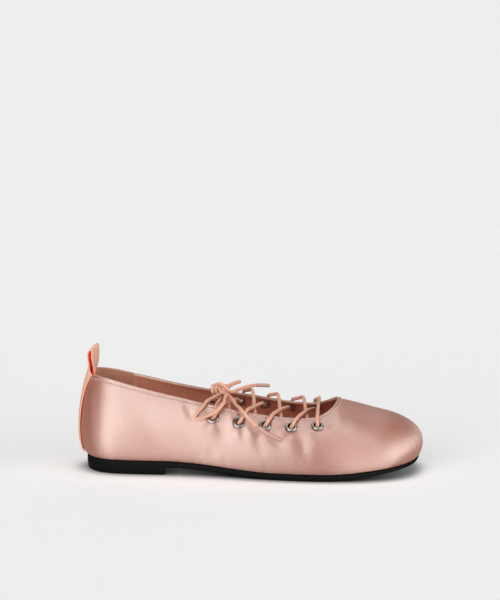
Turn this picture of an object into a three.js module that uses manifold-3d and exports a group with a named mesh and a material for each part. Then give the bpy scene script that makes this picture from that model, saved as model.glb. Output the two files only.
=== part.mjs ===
// A lace-up ballet flat for the right foot: a satin upper on a thin sole with a low heel block,
// five eyelets a side, an elastic cord tied in a bow, and a pull loop at the heel.
import * as THREE from "three";
import { mergeVertices } from "three/addons/utils/BufferGeometryUtils.js";
import Module from "manifold-3d";

const wasm = await Module();
wasm.setup();

// Driving sizes in millimetres. +X is the toe, -Y the outer side of the foot, +Z up, x = 0 the heel.
const LENGTH = 250;
const HALF_BALL = 45.5;
const BACK_HEIGHT = 70;
const WALL = 1.6;
const GAP = 0.3;
const CORD_RADIUS = 1.3;

// The middle of the finished shoe's box, which becomes the part's origin.
const MIDDLE_ALONG = 0.5002 * LENGTH;
const MIDDLE_OUT = -0.5;

// Sole and heel.
const HEEL_BLOCK = 5.2;
const HEEL_BREAST = 0.254 * LENGTH;
const TREAD_BACK = 0.568 * LENGTH;
const TREAD_FRONT = 0.728 * LENGTH;
const TOE_SPRING = 9.5;
const SPRING_POWER = 1.35;
const SOLE_THICK = 4.5;
const TOE_THICK = 2.7;
const INSOLE_THICK = 2.4;
const INSOLE_INSET = WALL + 0.7;

// Eyelets, counted from the throat back.
const EYELETS = 5;
const FIRST_EYELET = 0.69 * LENGTH;
const EYELET_PITCH = 0.0748 * LENGTH;
const EYELET_DROP = 10.4;
const EYELET_HOLE = 3.4;

// Heel tape and pull loop.
const TAPE_HALF = 7.4;
const TAPE_THICK = 0.9;
const TAPE_GAP = 0.45;
const TAPE_LOWEST = 0.12;
const TAPE_INSIDE = 0.86;
const LOOP_TILT = 0.065;

// How finely the curved solids are cut.
const AROUND_STEPS = 78;
const OUTER_STEPS = 12;
const INNER_STEPS = 8;
const CAP_LANES = 3;

// One row for each section of the last, from the heel back along the outer side to the toe and home.
// Foot and collar places are shares of the length, half ball breadth and back height. Tuck, wall and
// brim are the section's three shaping points: how far out, and how high, in millimetres or a share.
const SECTION_COLUMNS = [
  "footAlong", "footOut", "collarAlong", "collarOut", "collarUp",
  "tuckOut", "tuckRise", "wallOut", "wallUp", "brimOut", "brimDrop",
];
const SECTION_ROWS = {
  heelBack: [0.030, 0.000, 0.028, 0.000, 0.994, 8.2, 0.5, 8.2, 0.571, 4.2, 14.0],
  heelCornerLateral: [0.053, -0.363, 0.040, -0.154, 0.976, 8.6, 1.0, 8.2, 0.543, 5.4, 12.5],
  heelSideLateral: [0.110, -0.538, 0.088, -0.325, 0.953, 7.5, 1.5, 8.0, 0.514, 6.5, 10.5],
  quarterLateral: [0.216, -0.582, 0.192, -0.448, 0.870, 6.5, 1.5, 7.5, 0.457, 8.0, 9.5],
  waistLateral: [0.344, -0.626, 0.336, -0.549, 0.768, 6.5, 1.5, 8.0, 0.429, 12.0, 7.0],
  instepLateral: [0.480, -0.758, 0.476, -0.615, 0.672, 6.0, 2.0, 7.5, 0.414, 13.5, 4.4],
  ballLateral: [0.608, -0.890, 0.592, -0.612, 0.620, 5.5, 2.0, 7.0, 0.407, 14.0, 3.8],
  jointLateral: [0.724, -0.923, 0.676, -0.562, 0.612, 5.5, 2.0, 7.0, 0.400, 15.0, 3.4],
  vampLateral: [0.832, -0.846, 0.720, -0.440, 0.663, 6.0, 2.0, 8.0, 0.429, 19.0, 4.8],
  toeSideLateral: [0.918, -0.670, 0.741, -0.281, 0.711, 6.0, 2.0, 9.5, 0.486, 24.0, 8.5],
  toeCornerLateral: [0.968, -0.363, 0.750, -0.132, 0.741, 6.0, 1.8, 10.5, 0.600, 32.0, 12.2],
  toeTip: [0.986, 0.044, 0.753, 0.022, 0.750, 6.0, 1.5, 10.8, 0.640, 36.0, 13.8],
  toeCornerMedial: [0.982, 0.429, 0.750, 0.176, 0.741, 6.0, 1.8, 10.5, 0.600, 32.0, 12.2],
  toeSideMedial: [0.940, 0.681, 0.741, 0.325, 0.711, 6.0, 2.0, 9.5, 0.486, 24.0, 8.5],
  vampMedial: [0.852, 0.813, 0.720, 0.473, 0.663, 6.0, 2.0, 8.0, 0.429, 19.0, 4.8],
  jointMedial: [0.736, 0.890, 0.676, 0.580, 0.620, 5.5, 2.0, 7.5, 0.407, 15.0, 3.4],
  ballMedial: [0.616, 0.846, 0.592, 0.615, 0.640, 5.5, 2.0, 8.0, 0.421, 14.0, 3.8],
  instepMedial: [0.484, 0.681, 0.476, 0.611, 0.703, 6.0, 2.0, 8.5, 0.429, 13.5, 4.6],
  waistMedial: [0.348, 0.571, 0.336, 0.549, 0.780, 6.5, 1.5, 9.0, 0.429, 12.0, 7.0],
  quarterMedial: [0.216, 0.560, 0.192, 0.448, 0.897, 6.5, 1.5, 8.0, 0.457, 8.0, 9.5],
  heelSideMedial: [0.110, 0.527, 0.088, 0.325, 0.986, 7.5, 1.5, 8.0, 0.514, 6.5, 11.0],
  heelCornerMedial: [0.053, 0.363, 0.040, 0.154, 1.009, 8.6, 1.0, 8.2, 0.543, 5.4, 13.0],
};
const SECTIONS = Object.keys(SECTION_ROWS).length;
const TOE_SECTION = SECTIONS / 2;
const LATERAL = -1;
const MEDIAL = 1;
const SIDES = { lateral: LATERAL, medial: MEDIAL };

const { clamp, lerp, smoothstep } = THREE.MathUtils;

// A smooth closed curve through one value per section, as a cubic spline with even knots.
function closedSpline(values) {
  const decay = Math.sqrt(3) - 2;
  const reach = 10;
  const count = values.length;
  const at = (i) => values[((i % count) + count) % count];
  const bends = values.map((_, i) => {
    let sum = 0;
    for (let k = i - reach; k <= i + reach; k++) {
      sum += decay ** Math.abs(k - i) * (at(k - 1) - 2 * at(k) + at(k + 1));
    }
    return Math.sqrt(3) * sum;
  });
  const bendAt = (i) => bends[((i % count) + count) % count];
  return (around) => {
    const i = Math.floor(around);
    const t = around - i;
    const s = 1 - t;
    const pull = ((s ** 3 - s) * bendAt(i) + (t ** 3 - t) * bendAt(i + 1)) / 6;
    return s * at(i) + t * at(i + 1) + pull;
  };
}

const section = {};
SECTION_COLUMNS.forEach((name, column) => {
  section[name] = closedSpline(Object.values(SECTION_ROWS).map((row) => row[column]));
});

// Sole heights along the shoe: arch behind the tread, flat tread, spring under the toe.
function soleUnder(x) {
  const arch = HEEL_BLOCK * (1 - smoothstep(x, HEEL_BREAST, TREAD_BACK));
  const lift = clamp((x - TREAD_FRONT) / (LENGTH - TREAD_FRONT), 0, 1);
  return arch + TOE_SPRING * lift ** SPRING_POWER;
}

function soleTop(x) {
  return soleUnder(x) + lerp(SOLE_THICK, TOE_THICK, smoothstep(x, TREAD_FRONT, LENGTH));
}

// Plan curves of the foot's edge and of the collar, with their outward directions.
function footPlan(around) {
  return new THREE.Vector2(section.footAlong(around) * LENGTH, section.footOut(around) * HALF_BALL);
}

function collarPlan(around) {
  return new THREE.Vector2(section.collarAlong(around) * LENGTH, section.collarOut(around) * HALF_BALL);
}

function outward(plan, around) {
  const step = 1e-3;
  const run = plan(around + step).sub(plan(around - step));
  return new THREE.Vector2(run.y, -run.x).normalize();
}

// The upper's outer face: around counts sections, rise goes from the foot's edge (0) to the collar (1).
function upperPoint(around, rise) {
  const foot = footPlan(around);
  const footOut = outward(footPlan, around);
  const collar = collarPlan(around);
  const collarOut = outward(collarPlan, around);
  const seat = soleTop(foot.x) + GAP;
  const top = section.collarUp(around) * BACK_HEIGHT;
  const tuck = foot.clone().addScaledVector(footOut, section.tuckOut(around));
  const wall = foot.clone().addScaledVector(footOut, section.wallOut(around));
  const brim = collar.clone().addScaledVector(collarOut, section.brimOut(around));
  const shaping = [
    new THREE.Vector3(foot.x, foot.y, seat),
    new THREE.Vector3(tuck.x, tuck.y, seat + section.tuckRise(around)),
    new THREE.Vector3(wall.x, wall.y, section.wallUp(around) * BACK_HEIGHT),
    new THREE.Vector3(brim.x, brim.y, top - section.brimDrop(around)),
    new THREE.Vector3(collar.x, collar.y, top),
  ];
  const fall = 1 - rise;
  const weights = [
    fall ** 4, 4 * fall ** 3 * rise, 6 * fall ** 2 * rise ** 2, 4 * fall * rise ** 3, rise ** 4,
  ];
  const point = new THREE.Vector3();
  shaping.forEach((shape, i) => point.addScaledVector(shape, weights[i]));
  return point;
}

function upperNormal(around, rise) {
  const step = 1e-3;
  const low = Math.max(rise - step, 0);
  const high = Math.min(rise + step, 1);
  const along = upperPoint(around + step, rise).sub(upperPoint(around - step, rise));
  const up = upperPoint(around, high).sub(upperPoint(around, low));
  return along.cross(up).normalize();
}

// A point at a height over the upper's outer face, measured along its normal.
function overUpper(around, rise, height) {
  return upperPoint(around, rise).addScaledVector(upperNormal(around, rise), height);
}

// The lining's face. At the foot's edge the wall's thickness lies level, so that its rim is flat.
function liningPoint(around, rise) {
  const inward = upperNormal(around, rise);
  inward.z *= smoothstep(rise, 0, 0.15);
  return upperPoint(around, rise).addScaledVector(inward, -WALL);
}

// The place between low and high where a rising test passes zero.
function solve(low, high, test) {
  for (let turn = 0; turn < 40; turn++) {
    const middle = (low + high) / 2;
    if (test(middle) > 0) high = middle;
    else low = middle;
  }
  return (low + high) / 2;
}

function aroundOn(side, sections) {
  return side === LATERAL ? sections : SECTIONS - sections;
}

// The rise at a distance below the collar, straight across the wall.
function riseBelowCollar(around, drop) {
  const edge = upperPoint(around, 1);
  return solve(0, 1, (rise) => drop - upperPoint(around, rise).distanceTo(edge));
}

// A place on the wall: x along the shoe, drop below the collar's edge, lift off the satin.
function onWall(side, x, drop, lift) {
  const sections = solve(0, TOE_SECTION, (s) => {
    const around = aroundOn(side, s);
    return upperPoint(around, riseBelowCollar(around, drop)).x - x;
  });
  const around = aroundOn(side, sections);
  return overUpper(around, riseBelowCollar(around, drop), lift);
}

// A place over the opening: across is -1 at the outer collar edge and 1 at the inner one.
function overOpening(x, across, height) {
  const side = across < 0 ? LATERAL : MEDIAL;
  const sections = solve(0, TOE_SECTION, (s) => collarPlan(aroundOn(side, s)).x - x);
  const edge = upperPoint(aroundOn(side, sections), 1);
  return new THREE.Vector3(x, Math.abs(edge.y) * across, edge.z + height);
}

// Closed solids from rows of points.
class Facets {
  constructor() {
    this.corners = [];
  }

  triangle(a, b, c) {
    this.corners.push(a, b, c);
  }

  quad(a, b, c, d) {
    this.triangle(a, b, c);
    this.triangle(a, c, d);
  }

  // A band between two closed rings of the same count.
  band(lower, upper) {
    lower.forEach((corner, i) => {
      const next = (i + 1) % lower.length;
      this.quad(corner, lower[next], upper[next], upper[i]);
    });
  }

  // A lid over a ring that runs round the shoe, laid as lanes from the outer side to the inner one.
  lid(ring, height, up) {
    const half = ring.length / 2;
    const face = (a, b, c) => (up ? this.triangle(a, b, c) : this.triangle(a, c, b));
    const lane = (i, k) => {
      if (k === 0) return ring[i];
      if (k === CAP_LANES) return ring[ring.length - i];
      const point = ring[i].clone().lerp(ring[ring.length - i], k / CAP_LANES);
      point.z = height(point.x);
      return point;
    };
    for (let k = 0; k < CAP_LANES; k++) {
      face(ring[0], lane(1, k), lane(1, k + 1));
      for (let i = 1; i < half - 1; i++) {
        face(lane(i, k), lane(i + 1, k), lane(i + 1, k + 1));
        face(lane(i, k), lane(i + 1, k + 1), lane(i, k + 1));
      }
      face(ring[half], lane(half - 1, k + 1), lane(half - 1, k));
    }
  }

  geometry() {
    const made = new THREE.BufferGeometry().setFromPoints(this.corners);
    made.computeVertexNormals();
    return made;
  }
}

function ring(point) {
  return Array.from({ length: AROUND_STEPS }, (_, i) => point((i * SECTIONS) / AROUND_STEPS));
}

// Joining and cutting of closed solids.
function toSolid(geometry) {
  const bare = geometry.clone();
  bare.deleteAttribute("normal");
  bare.deleteAttribute("uv");
  const merged = mergeVertices(bare, 1e-4);
  return new wasm.Manifold(new wasm.Mesh({
    numProp: 3,
    vertProperties: merged.attributes.position.array,
    triVerts: new Uint32Array(merged.index.array),
  }));
}

function toGeometry(solid) {
  const mesh = solid.getMesh();
  const made = new THREE.BufferGeometry();
  made.setAttribute("position", new THREE.BufferAttribute(mesh.vertProperties, 3));
  made.setIndex(new THREE.BufferAttribute(mesh.triVerts, 1));
  made.computeVertexNormals();
  return made;
}

function join(geometries) {
  return toGeometry(geometries.map(toSolid).reduce((all, one) => all.add(one)));
}

// A slab with the foot's outline. Each edge row says how far out it lies and its height at an x.
function slab(edges) {
  const rings = edges.map(({ out, height }) => ring((around) => {
    const place = footPlan(around).addScaledVector(outward(footPlan, around), out);
    return new THREE.Vector3(place.x, place.y, height(place.x));
  }));
  const facets = new Facets();
  for (let i = 1; i < rings.length; i++) facets.band(rings[i - 1], rings[i]);
  facets.lid(rings[0], edges[0].height, false);
  facets.lid(rings[rings.length - 1], edges[edges.length - 1].height, true);
  return facets.geometry();
}

function outsoleShape() {
  const sole = toSolid(slab([
    { out: 0.1, height: soleUnder },
    { out: 0.9, height: (x) => soleUnder(x) + 1 },
    { out: 1, height: (x) => soleTop(x) - 0.9 },
    { out: 0.4, height: soleTop },
  ]));
  const heel = toSolid(slab([
    { out: -0.1, height: () => 0 },
    { out: 0.5, height: () => 0.8 },
    { out: 0.6, height: (x) => soleUnder(x) + 1.2 },
  ]));
  const behindBreast = new THREE.BoxGeometry(LENGTH, 2 * LENGTH, LENGTH);
  behindBreast.translate(HEEL_BREAST - LENGTH / 2, 0, 0);
  return toGeometry(sole.add(heel.intersect(toSolid(behindBreast))));
}

function insoleShape() {
  const top = (x) => soleTop(x) + GAP + INSOLE_THICK;
  return slab([
    { out: -INSOLE_INSET, height: (x) => soleTop(x) + GAP },
    { out: -INSOLE_INSET, height: (x) => top(x) - 0.6 },
    { out: -INSOLE_INSET - 0.6, height: top },
  ]);
}

// Where an eyelet sits: its place on the satin and the way it faces.
function eyeletSeat(side, number) {
  const x = FIRST_EYELET - (number - 1) * EYELET_PITCH;
  const place = onWall(side, x, EYELET_DROP, 0);
  const facing = onWall(side, x, EYELET_DROP, 1).sub(place).normalize();
  return { x, place, facing };
}

function stand(geometry, seat) {
  const turn = new THREE.Quaternion().setFromUnitVectors(new THREE.Vector3(0, 1, 0), seat.facing);
  return geometry.applyQuaternion(turn).translate(...seat.place);
}

function eachEyelet(visit) {
  for (const [sideName, side] of Object.entries(SIDES)) {
    for (let number = 1; number <= EYELETS; number++) visit(sideName, side, number);
  }
}

function upperShape() {
  const rings = [];
  for (let i = 0; i <= OUTER_STEPS; i++) rings.push(ring((around) => upperPoint(around, i / OUTER_STEPS)));
  for (let i = INNER_STEPS; i >= 0; i--) rings.push(ring((around) => liningPoint(around, i / INNER_STEPS)));
  const facets = new Facets();
  rings.forEach((lower, i) => facets.band(lower, rings[(i + 1) % rings.length]));
  let shell = toSolid(facets.geometry());
  eachEyelet((_, side, number) => {
    const punch = new THREE.CylinderGeometry(EYELET_HOLE, EYELET_HOLE, 8, 12);
    shell = shell.subtract(toSolid(stand(punch, eyeletSeat(side, number))));
  });
  return toGeometry(shell);
}

// An eyelet's turned section as radius and height over the satin: a domed flange outside, a barrel
// through the wall and a rolled washer inside.
function eyeletShape(side, number) {
  const inside = -WALL - 0.6;
  const profile = [
    [2.6, inside - 0.5], [2.6, 0.9], [3.0, 1.3], [3.7, 1.3], [4.4, 0.6], [4.3, 0.35],
    [3.1, 0.35], [3.1, inside], [3.9, inside - 0.4], [3.4, inside - 0.9], [2.6, inside - 0.5],
  ].map(([radius, height]) => new THREE.Vector2(radius, height));
  const turned = new THREE.LatheGeometry(profile.reverse(), 10);
  return stand(turned, eyeletSeat(side, number));
}

// The pull loop's middle line over the collar: x from the collar's back edge, height over it, and
// how far the tape is twisted to show its front. The loop stands lower on the outer side.
const LOOP_COLUMNS = ["along", "height", "twist"];
const LOOP_ROWS = [
  [0.1, 4, 0.12], [1.1, 8, 0.24], [1.6, 12, 0.3], [2, 15, 0.3], [2.6, 17.3, 0.3], [3.5, 18.4, 0.3],
  [4.4, 17.3, 0.3], [4.6, 15, 0.3], [4.4, 12, 0.3], [4, 8, 0.24], [3.3, 4, 0.12],
];
const TAPE_LANES = [-1, -0.5, 0, 0.5, 1];
const TAPE_SAG = 2;

// Where the wall at the heel is a set way to the side, at one rise.
function heelAround(rise, sideways) {
  if (sideways === 0) return 0;
  const side = Math.sign(sideways);
  const reach = (s) => upperPoint(aroundOn(side, s), rise).y * side;
  return aroundOn(side, solve(0, 3, (s) => reach(s) - Math.abs(sideways)));
}

function heelTapeShape() {
  const stations = [];
  const onHeel = (rise, nearFace, farFace) => {
    const arounds = TAPE_LANES.map((lane) => heelAround(rise, lane * TAPE_HALF));
    stations.push({
      near: arounds.map((around) => overUpper(around, rise, nearFace)),
      far: arounds.map((around) => overUpper(around, rise, farFace)),
    });
  };
  const climb = 12;
  for (let i = 0; i <= climb; i++) onHeel(lerp(TAPE_LOWEST, 1, i / climb), TAPE_GAP, TAPE_GAP + TAPE_THICK);
  const edge = upperPoint(0, 1);
  LOOP_ROWS.forEach((row, i) => {
    const here = Object.fromEntries(LOOP_COLUMNS.map((name, column) => [name, row[column]]));
    const before = LOOP_ROWS[Math.max(i - 1, 0)];
    const after = LOOP_ROWS[Math.min(i + 1, LOOP_ROWS.length - 1)];
    const run = new THREE.Vector2(after[0] - before[0], after[1] - before[1]).normalize();
    const curl = TAPE_SAG * (1 - smoothstep(here.height, 0, 16));
    const face = (offset) => TAPE_LANES.map((lane) => new THREE.Vector3(
      edge.x + here.along - run.y * offset + lane * TAPE_HALF * Math.sin(here.twist) + curl * lane ** 2,
      lane * TAPE_HALF * Math.cos(here.twist),
      edge.z + here.height * (1 + LOOP_TILT * lane) + run.x * offset,
    ));
    stations.push({ near: face(-TAPE_THICK / 2), far: face(TAPE_THICK / 2) });
  });
  const tuckIn = 3;
  for (let i = 0; i <= tuckIn; i++) {
    onHeel(lerp(1, TAPE_INSIDE, i / tuckIn), -WALL - TAPE_GAP, -WALL - TAPE_GAP - TAPE_THICK);
  }
  const rings = stations.map(({ near, far }) => [...far].reverse().concat(near));
  const facets = new Facets();
  for (let i = 1; i < rings.length; i++) facets.band(rings[i - 1], rings[i]);
  const first = stations[0];
  const last = stations[stations.length - 1];
  for (let k = 1; k < TAPE_LANES.length; k++) {
    facets.quad(first.far[k - 1], first.far[k], first.near[k], first.near[k - 1]);
    facets.quad(last.far[k], last.far[k - 1], last.near[k - 1], last.near[k]);
  }
  return facets.geometry();
}

// Round cord along a hand-laid route.
function cord(route, radius = CORD_RADIUS) {
  const sides = 8;
  const corners = Array.from({ length: sides }, (_, i) => {
    const angle = (2 * Math.PI * i) / sides;
    return new THREE.Vector2(radius * Math.cos(angle), radius * Math.sin(angle));
  });
  const path = new THREE.CatmullRomCurve3(route);
  const steps = Math.ceil(path.getLength() / (6 * radius));
  const outline = new THREE.Shape(corners);
  return new THREE.ExtrudeGeometry(outline, { steps, extrudePath: path, bevelEnabled: false });
}

// Just outside and just inside an eyelet's mouth, clear of its rim by the cord's own radius.
function mouthOutside(side, number) {
  const seat = eyeletSeat(side, number);
  return seat.place.clone().addScaledVector(seat.facing, 3 + GAP + CORD_RADIUS);
}

function mouthInside(side, number) {
  const seat = eyeletSeat(side, number);
  return seat.place.clone().addScaledVector(seat.facing, -WALL - 1.5 - GAP - CORD_RADIUS);
}

// The front bar leaves one mouth, crosses over the throat and goes in at the other: across, height, ahead.
const BAR_ROWS = [[-1.06, 2.2, 0], [-0.7, 3, 0.4], [0.3, 3.6, 1.6], [0.93, 3.6, 2.2], [1.16, 1.6, 1.8]];

function laceBarShape() {
  const { x } = eyeletSeat(LATERAL, 1);
  return cord([
    mouthOutside(LATERAL, 1),
    ...BAR_ROWS.map(([across, height, ahead]) => overOpening(x + ahead, across, height)),
    mouthOutside(MEDIAL, 1),
  ]);
}

// The two strands of a crossing: share of the way to the next eyelet back, across, height.
const TO_LATERAL_ROWS = [[0.1, 0.55, -2.4], [0.36, -0.25, 1.8], [0.56, -0.75, 2.4], [0.7, -1.03, 2.1]];
const TO_MEDIAL_ROWS = [
  [0.34, -0.86, -2.4], [0.42, -0.3, 0.2], [0.46, 0.4, 2.8],
  [0.52, 0.8, 4.8], [0.66, 1.04, 2.8], [0.82, 1.18, 1],
];

function laceCrossShape(number) {
  const from = eyeletSeat(LATERAL, number).x;
  const to = eyeletSeat(LATERAL, number + 1).x;
  const strand = (startSide, rows) => cord([
    mouthInside(startSide, number),
    ...rows.map(([share, across, height]) => overOpening(lerp(from, to, share), across, height)),
    mouthOutside(-startSide, number + 1),
  ]);
  return join([strand(MEDIAL, TO_LATERAL_ROWS), strand(LATERAL, TO_MEDIAL_ROWS)]);
}

// The bow: a knot over the opening, two risers into it, two loops and two ends out of it.
const KNOT = new THREE.Vector3(104.2, -1.5, 56.4);
const KNOT_HALF = new THREE.Vector3(7, 5, 5);

function laceKnotShape() {
  const knot = new THREE.SphereGeometry(1, 12, 7).scale(...KNOT_HALF).translate(...KNOT);
  const riser = (side) => cord([
    mouthInside(side, EYELETS),
    overOpening(99, side * 0.82, -2.4),
    overOpening(101.5, side * 0.45, 1.6),
    KNOT,
  ]);
  return join([knot, riser(LATERAL), riser(MEDIAL)]);
}

const at = (x, y, z) => new THREE.Vector3(x, y, z);

const LOOP_LATERAL_ROUTE = [
  at(102.2, -9.4, 55.8), at(97.6, -16.2, 54.8), overOpening(93.4, -0.97, 2.3),
  onWall(LATERAL, 90, 4.8, 1.8), onWall(LATERAL, 86.4, 10, 1.8), onWall(LATERAL, 84.9, 12.4, 1.8),
  onWall(LATERAL, 86.4, 13.6, 1.9), onWall(LATERAL, 89.4, 12.6, 2.2), onWall(LATERAL, 92.8, 11.2, 4),
  onWall(LATERAL, 96.9, 10.1, 7.9), onWall(LATERAL, 100.4, 8.2, 8.2), onWall(LATERAL, 103.7, 4.3, 7.6),
  at(106.2, -19, 56), at(106.6, -10, 56.8),
];
const LOOP_MEDIAL_ROUTE = [
  at(106.2, 4, 57.9), at(110, 9.6, 59.4), at(114, 13.6, 60.3), at(116.2, 16.8, 60.2),
  at(115.6, 20.4, 59.2), at(112, 18.8, 58.2), at(108.4, 12.6, 57), at(105.6, 5.4, 55),
];
const END_LATERAL_ROUTE = [
  at(109, -8.4, 54.4), at(111.4, -16, 53.2), at(113.6, -22, 51.4), onWall(LATERAL, 116.3, 2.7, 4.8),
  onWall(LATERAL, 120, 7.4, 7), onWall(LATERAL, 124.4, 10, 4.8), onWall(LATERAL, 128.8, 12.5, 3.3),
];
const END_MEDIAL_ROUTE = [
  at(110.8, 1.6, 55.6), at(117.6, 14, 55.6), at(124.2, 23, 55.8), at(127.9, 27.5, 55.5),
];
const AGLET_LATERAL_ROUTE = [
  onWall(LATERAL, 129.3, 12.8, 3.2), onWall(LATERAL, 138, 17, 3), onWall(LATERAL, 147.4, 20.4, 2),
];
const AGLET_MEDIAL_ROUTE = [at(128.5, 28.1, 55.4), at(133.6, 32.3, 54.6), at(138.4, 36, 53.6)];
const AGLET_RADIUS = 1.4;

const FINISH = {
  satin: new THREE.MeshStandardMaterial({ color: 0xd3a69b, roughness: 0.45 }),
  tape: new THREE.MeshStandardMaterial({ color: 0xe0b0a4, roughness: 0.8 }),
  sock: new THREE.MeshStandardMaterial({ color: 0xb08a80, roughness: 0.8 }),
  sole: new THREE.MeshStandardMaterial({ color: 0x1d1d1e, roughness: 0.6 }),
  nickel: new THREE.MeshStandardMaterial({ color: 0xc8c8c6, roughness: 0.25, metalness: 1 }),
  lace: new THREE.MeshStandardMaterial({ color: 0xd9a695, roughness: 0.8 }),
};

const shoe = new THREE.Group();
shoe.position.set(-MIDDLE_ALONG, -MIDDLE_OUT, 0);

function add(name, geometry, finish) {
  const mesh = new THREE.Mesh(geometry, finish);
  mesh.name = name;
  shoe.add(mesh);
}

add("outsole", outsoleShape(), FINISH.sole);
add("insole", insoleShape(), FINISH.sock);
add("upper", upperShape(), FINISH.satin);
add("heel_tape", heelTapeShape(), FINISH.tape);
eachEyelet((sideName, side, number) => {
  add(`eyelet_${sideName}_${number}`, eyeletShape(side, number), FINISH.nickel);
});
add("lace_bar", laceBarShape(), FINISH.lace);
for (let number = 1; number < EYELETS; number++) {
  add(`lace_cross_${number}`, laceCrossShape(number), FINISH.lace);
}
add("lace_knot", laceKnotShape(), FINISH.lace);
add("lace_loop_lateral", cord(LOOP_LATERAL_ROUTE), FINISH.lace);
add("lace_loop_medial", cord(LOOP_MEDIAL_ROUTE), FINISH.lace);
add("lace_end_lateral", cord(END_LATERAL_ROUTE), FINISH.lace);
add("lace_end_medial", cord(END_MEDIAL_ROUTE), FINISH.lace);
add("aglet_lateral", cord(AGLET_LATERAL_ROUTE, AGLET_RADIUS), FINISH.lace);
add("aglet_medial", cord(AGLET_MEDIAL_ROUTE, AGLET_RADIUS), FINISH.lace);

const part = new THREE.Group();
part.add(shoe);

export default part;
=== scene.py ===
"""A lace-up ballet flat for the right foot: satin upper, thin black sole, elastic lacing, pull loop."""
import math

import bpy
import numpy as np
from mathutils import Matrix, Vector


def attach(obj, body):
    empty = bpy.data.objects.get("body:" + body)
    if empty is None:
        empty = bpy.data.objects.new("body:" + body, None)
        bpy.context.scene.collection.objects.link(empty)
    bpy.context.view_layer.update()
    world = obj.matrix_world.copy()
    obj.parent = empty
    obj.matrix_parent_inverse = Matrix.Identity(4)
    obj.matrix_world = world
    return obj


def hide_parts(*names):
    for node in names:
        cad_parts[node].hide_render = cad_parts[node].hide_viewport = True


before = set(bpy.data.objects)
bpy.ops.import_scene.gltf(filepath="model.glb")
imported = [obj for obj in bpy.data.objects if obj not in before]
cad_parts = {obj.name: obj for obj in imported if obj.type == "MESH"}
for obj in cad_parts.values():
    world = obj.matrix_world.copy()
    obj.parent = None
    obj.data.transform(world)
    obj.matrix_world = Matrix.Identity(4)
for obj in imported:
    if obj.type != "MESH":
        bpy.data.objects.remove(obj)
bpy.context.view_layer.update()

# Sizes of the shoe in millimetres, +X the toe, -Y the outer side, x = 0 at the heel.
MM = 0.001
LENGTH = 250.0
HALF_BALL = 45.5
BACK_HEIGHT = 70.0
WALL = 1.6
GAP = 0.3
MIDDLE = np.array([0.5002 * LENGTH, -0.5, 0.0])
LATERAL = -1
MEDIAL = 1
SIDE_NAMES = {LATERAL: "lateral", MEDIAL: "medial"}

# Sole and heel.
HEEL_BLOCK = 5.2
HEEL_BREAST = 0.254 * LENGTH
TREAD_BACK = 0.568 * LENGTH
TREAD_FRONT = 0.728 * LENGTH
TOE_SPRING = 9.5
SPRING_POWER = 1.35
SOLE_THICK = 4.5
TOE_THICK = 2.7
INSOLE_THICK = 2.4
INSOLE_INSET = WALL + 0.7

# Eyelets, counted from the throat back.
EYELETS = 5
FIRST_EYELET = 0.69 * LENGTH
EYELET_PITCH = 0.0748 * LENGTH
EYELET_DROP = 10.4
EYELET_CUT = 3.5

# Heel tape and pull loop.
TAPE_HALF = 7.4
TAPE_THICK = 0.9
TAPE_GAP = 0.45
TAPE_LOWEST = 0.12
TAPE_INSIDE = 0.86
TAPE_SAG = 2.0
LOOP_TILT = 0.065

# Lace.
CORD_RADIUS = 1.3
AGLET_RADIUS = 1.4

# Stitching: spacing, distance below the collar, and the stitch length and thread radius of each row.
STITCH_PITCH = 2.25
STITCH_DROP = 2.3
COLLAR_STITCH = (1.7, 0.3)
GRIP_STITCH = (1.5, 0.25)
# One stitch from end to end: places as shares of its length, then girth and lift in thread radii.
STITCH_PLACES = np.array([-0.5, -0.46, -0.3, 0.0, 0.3, 0.46, 0.5])
STITCH_GIRTH = np.array([0.15, 0.6, 0.95, 1.0, 0.95, 0.6, 0.15])
STITCH_LIFT = np.array([-1.0, -0.7, -0.15, 0.25, -0.15, -0.7, -1.0])
STITCH_SIDES = 6

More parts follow.
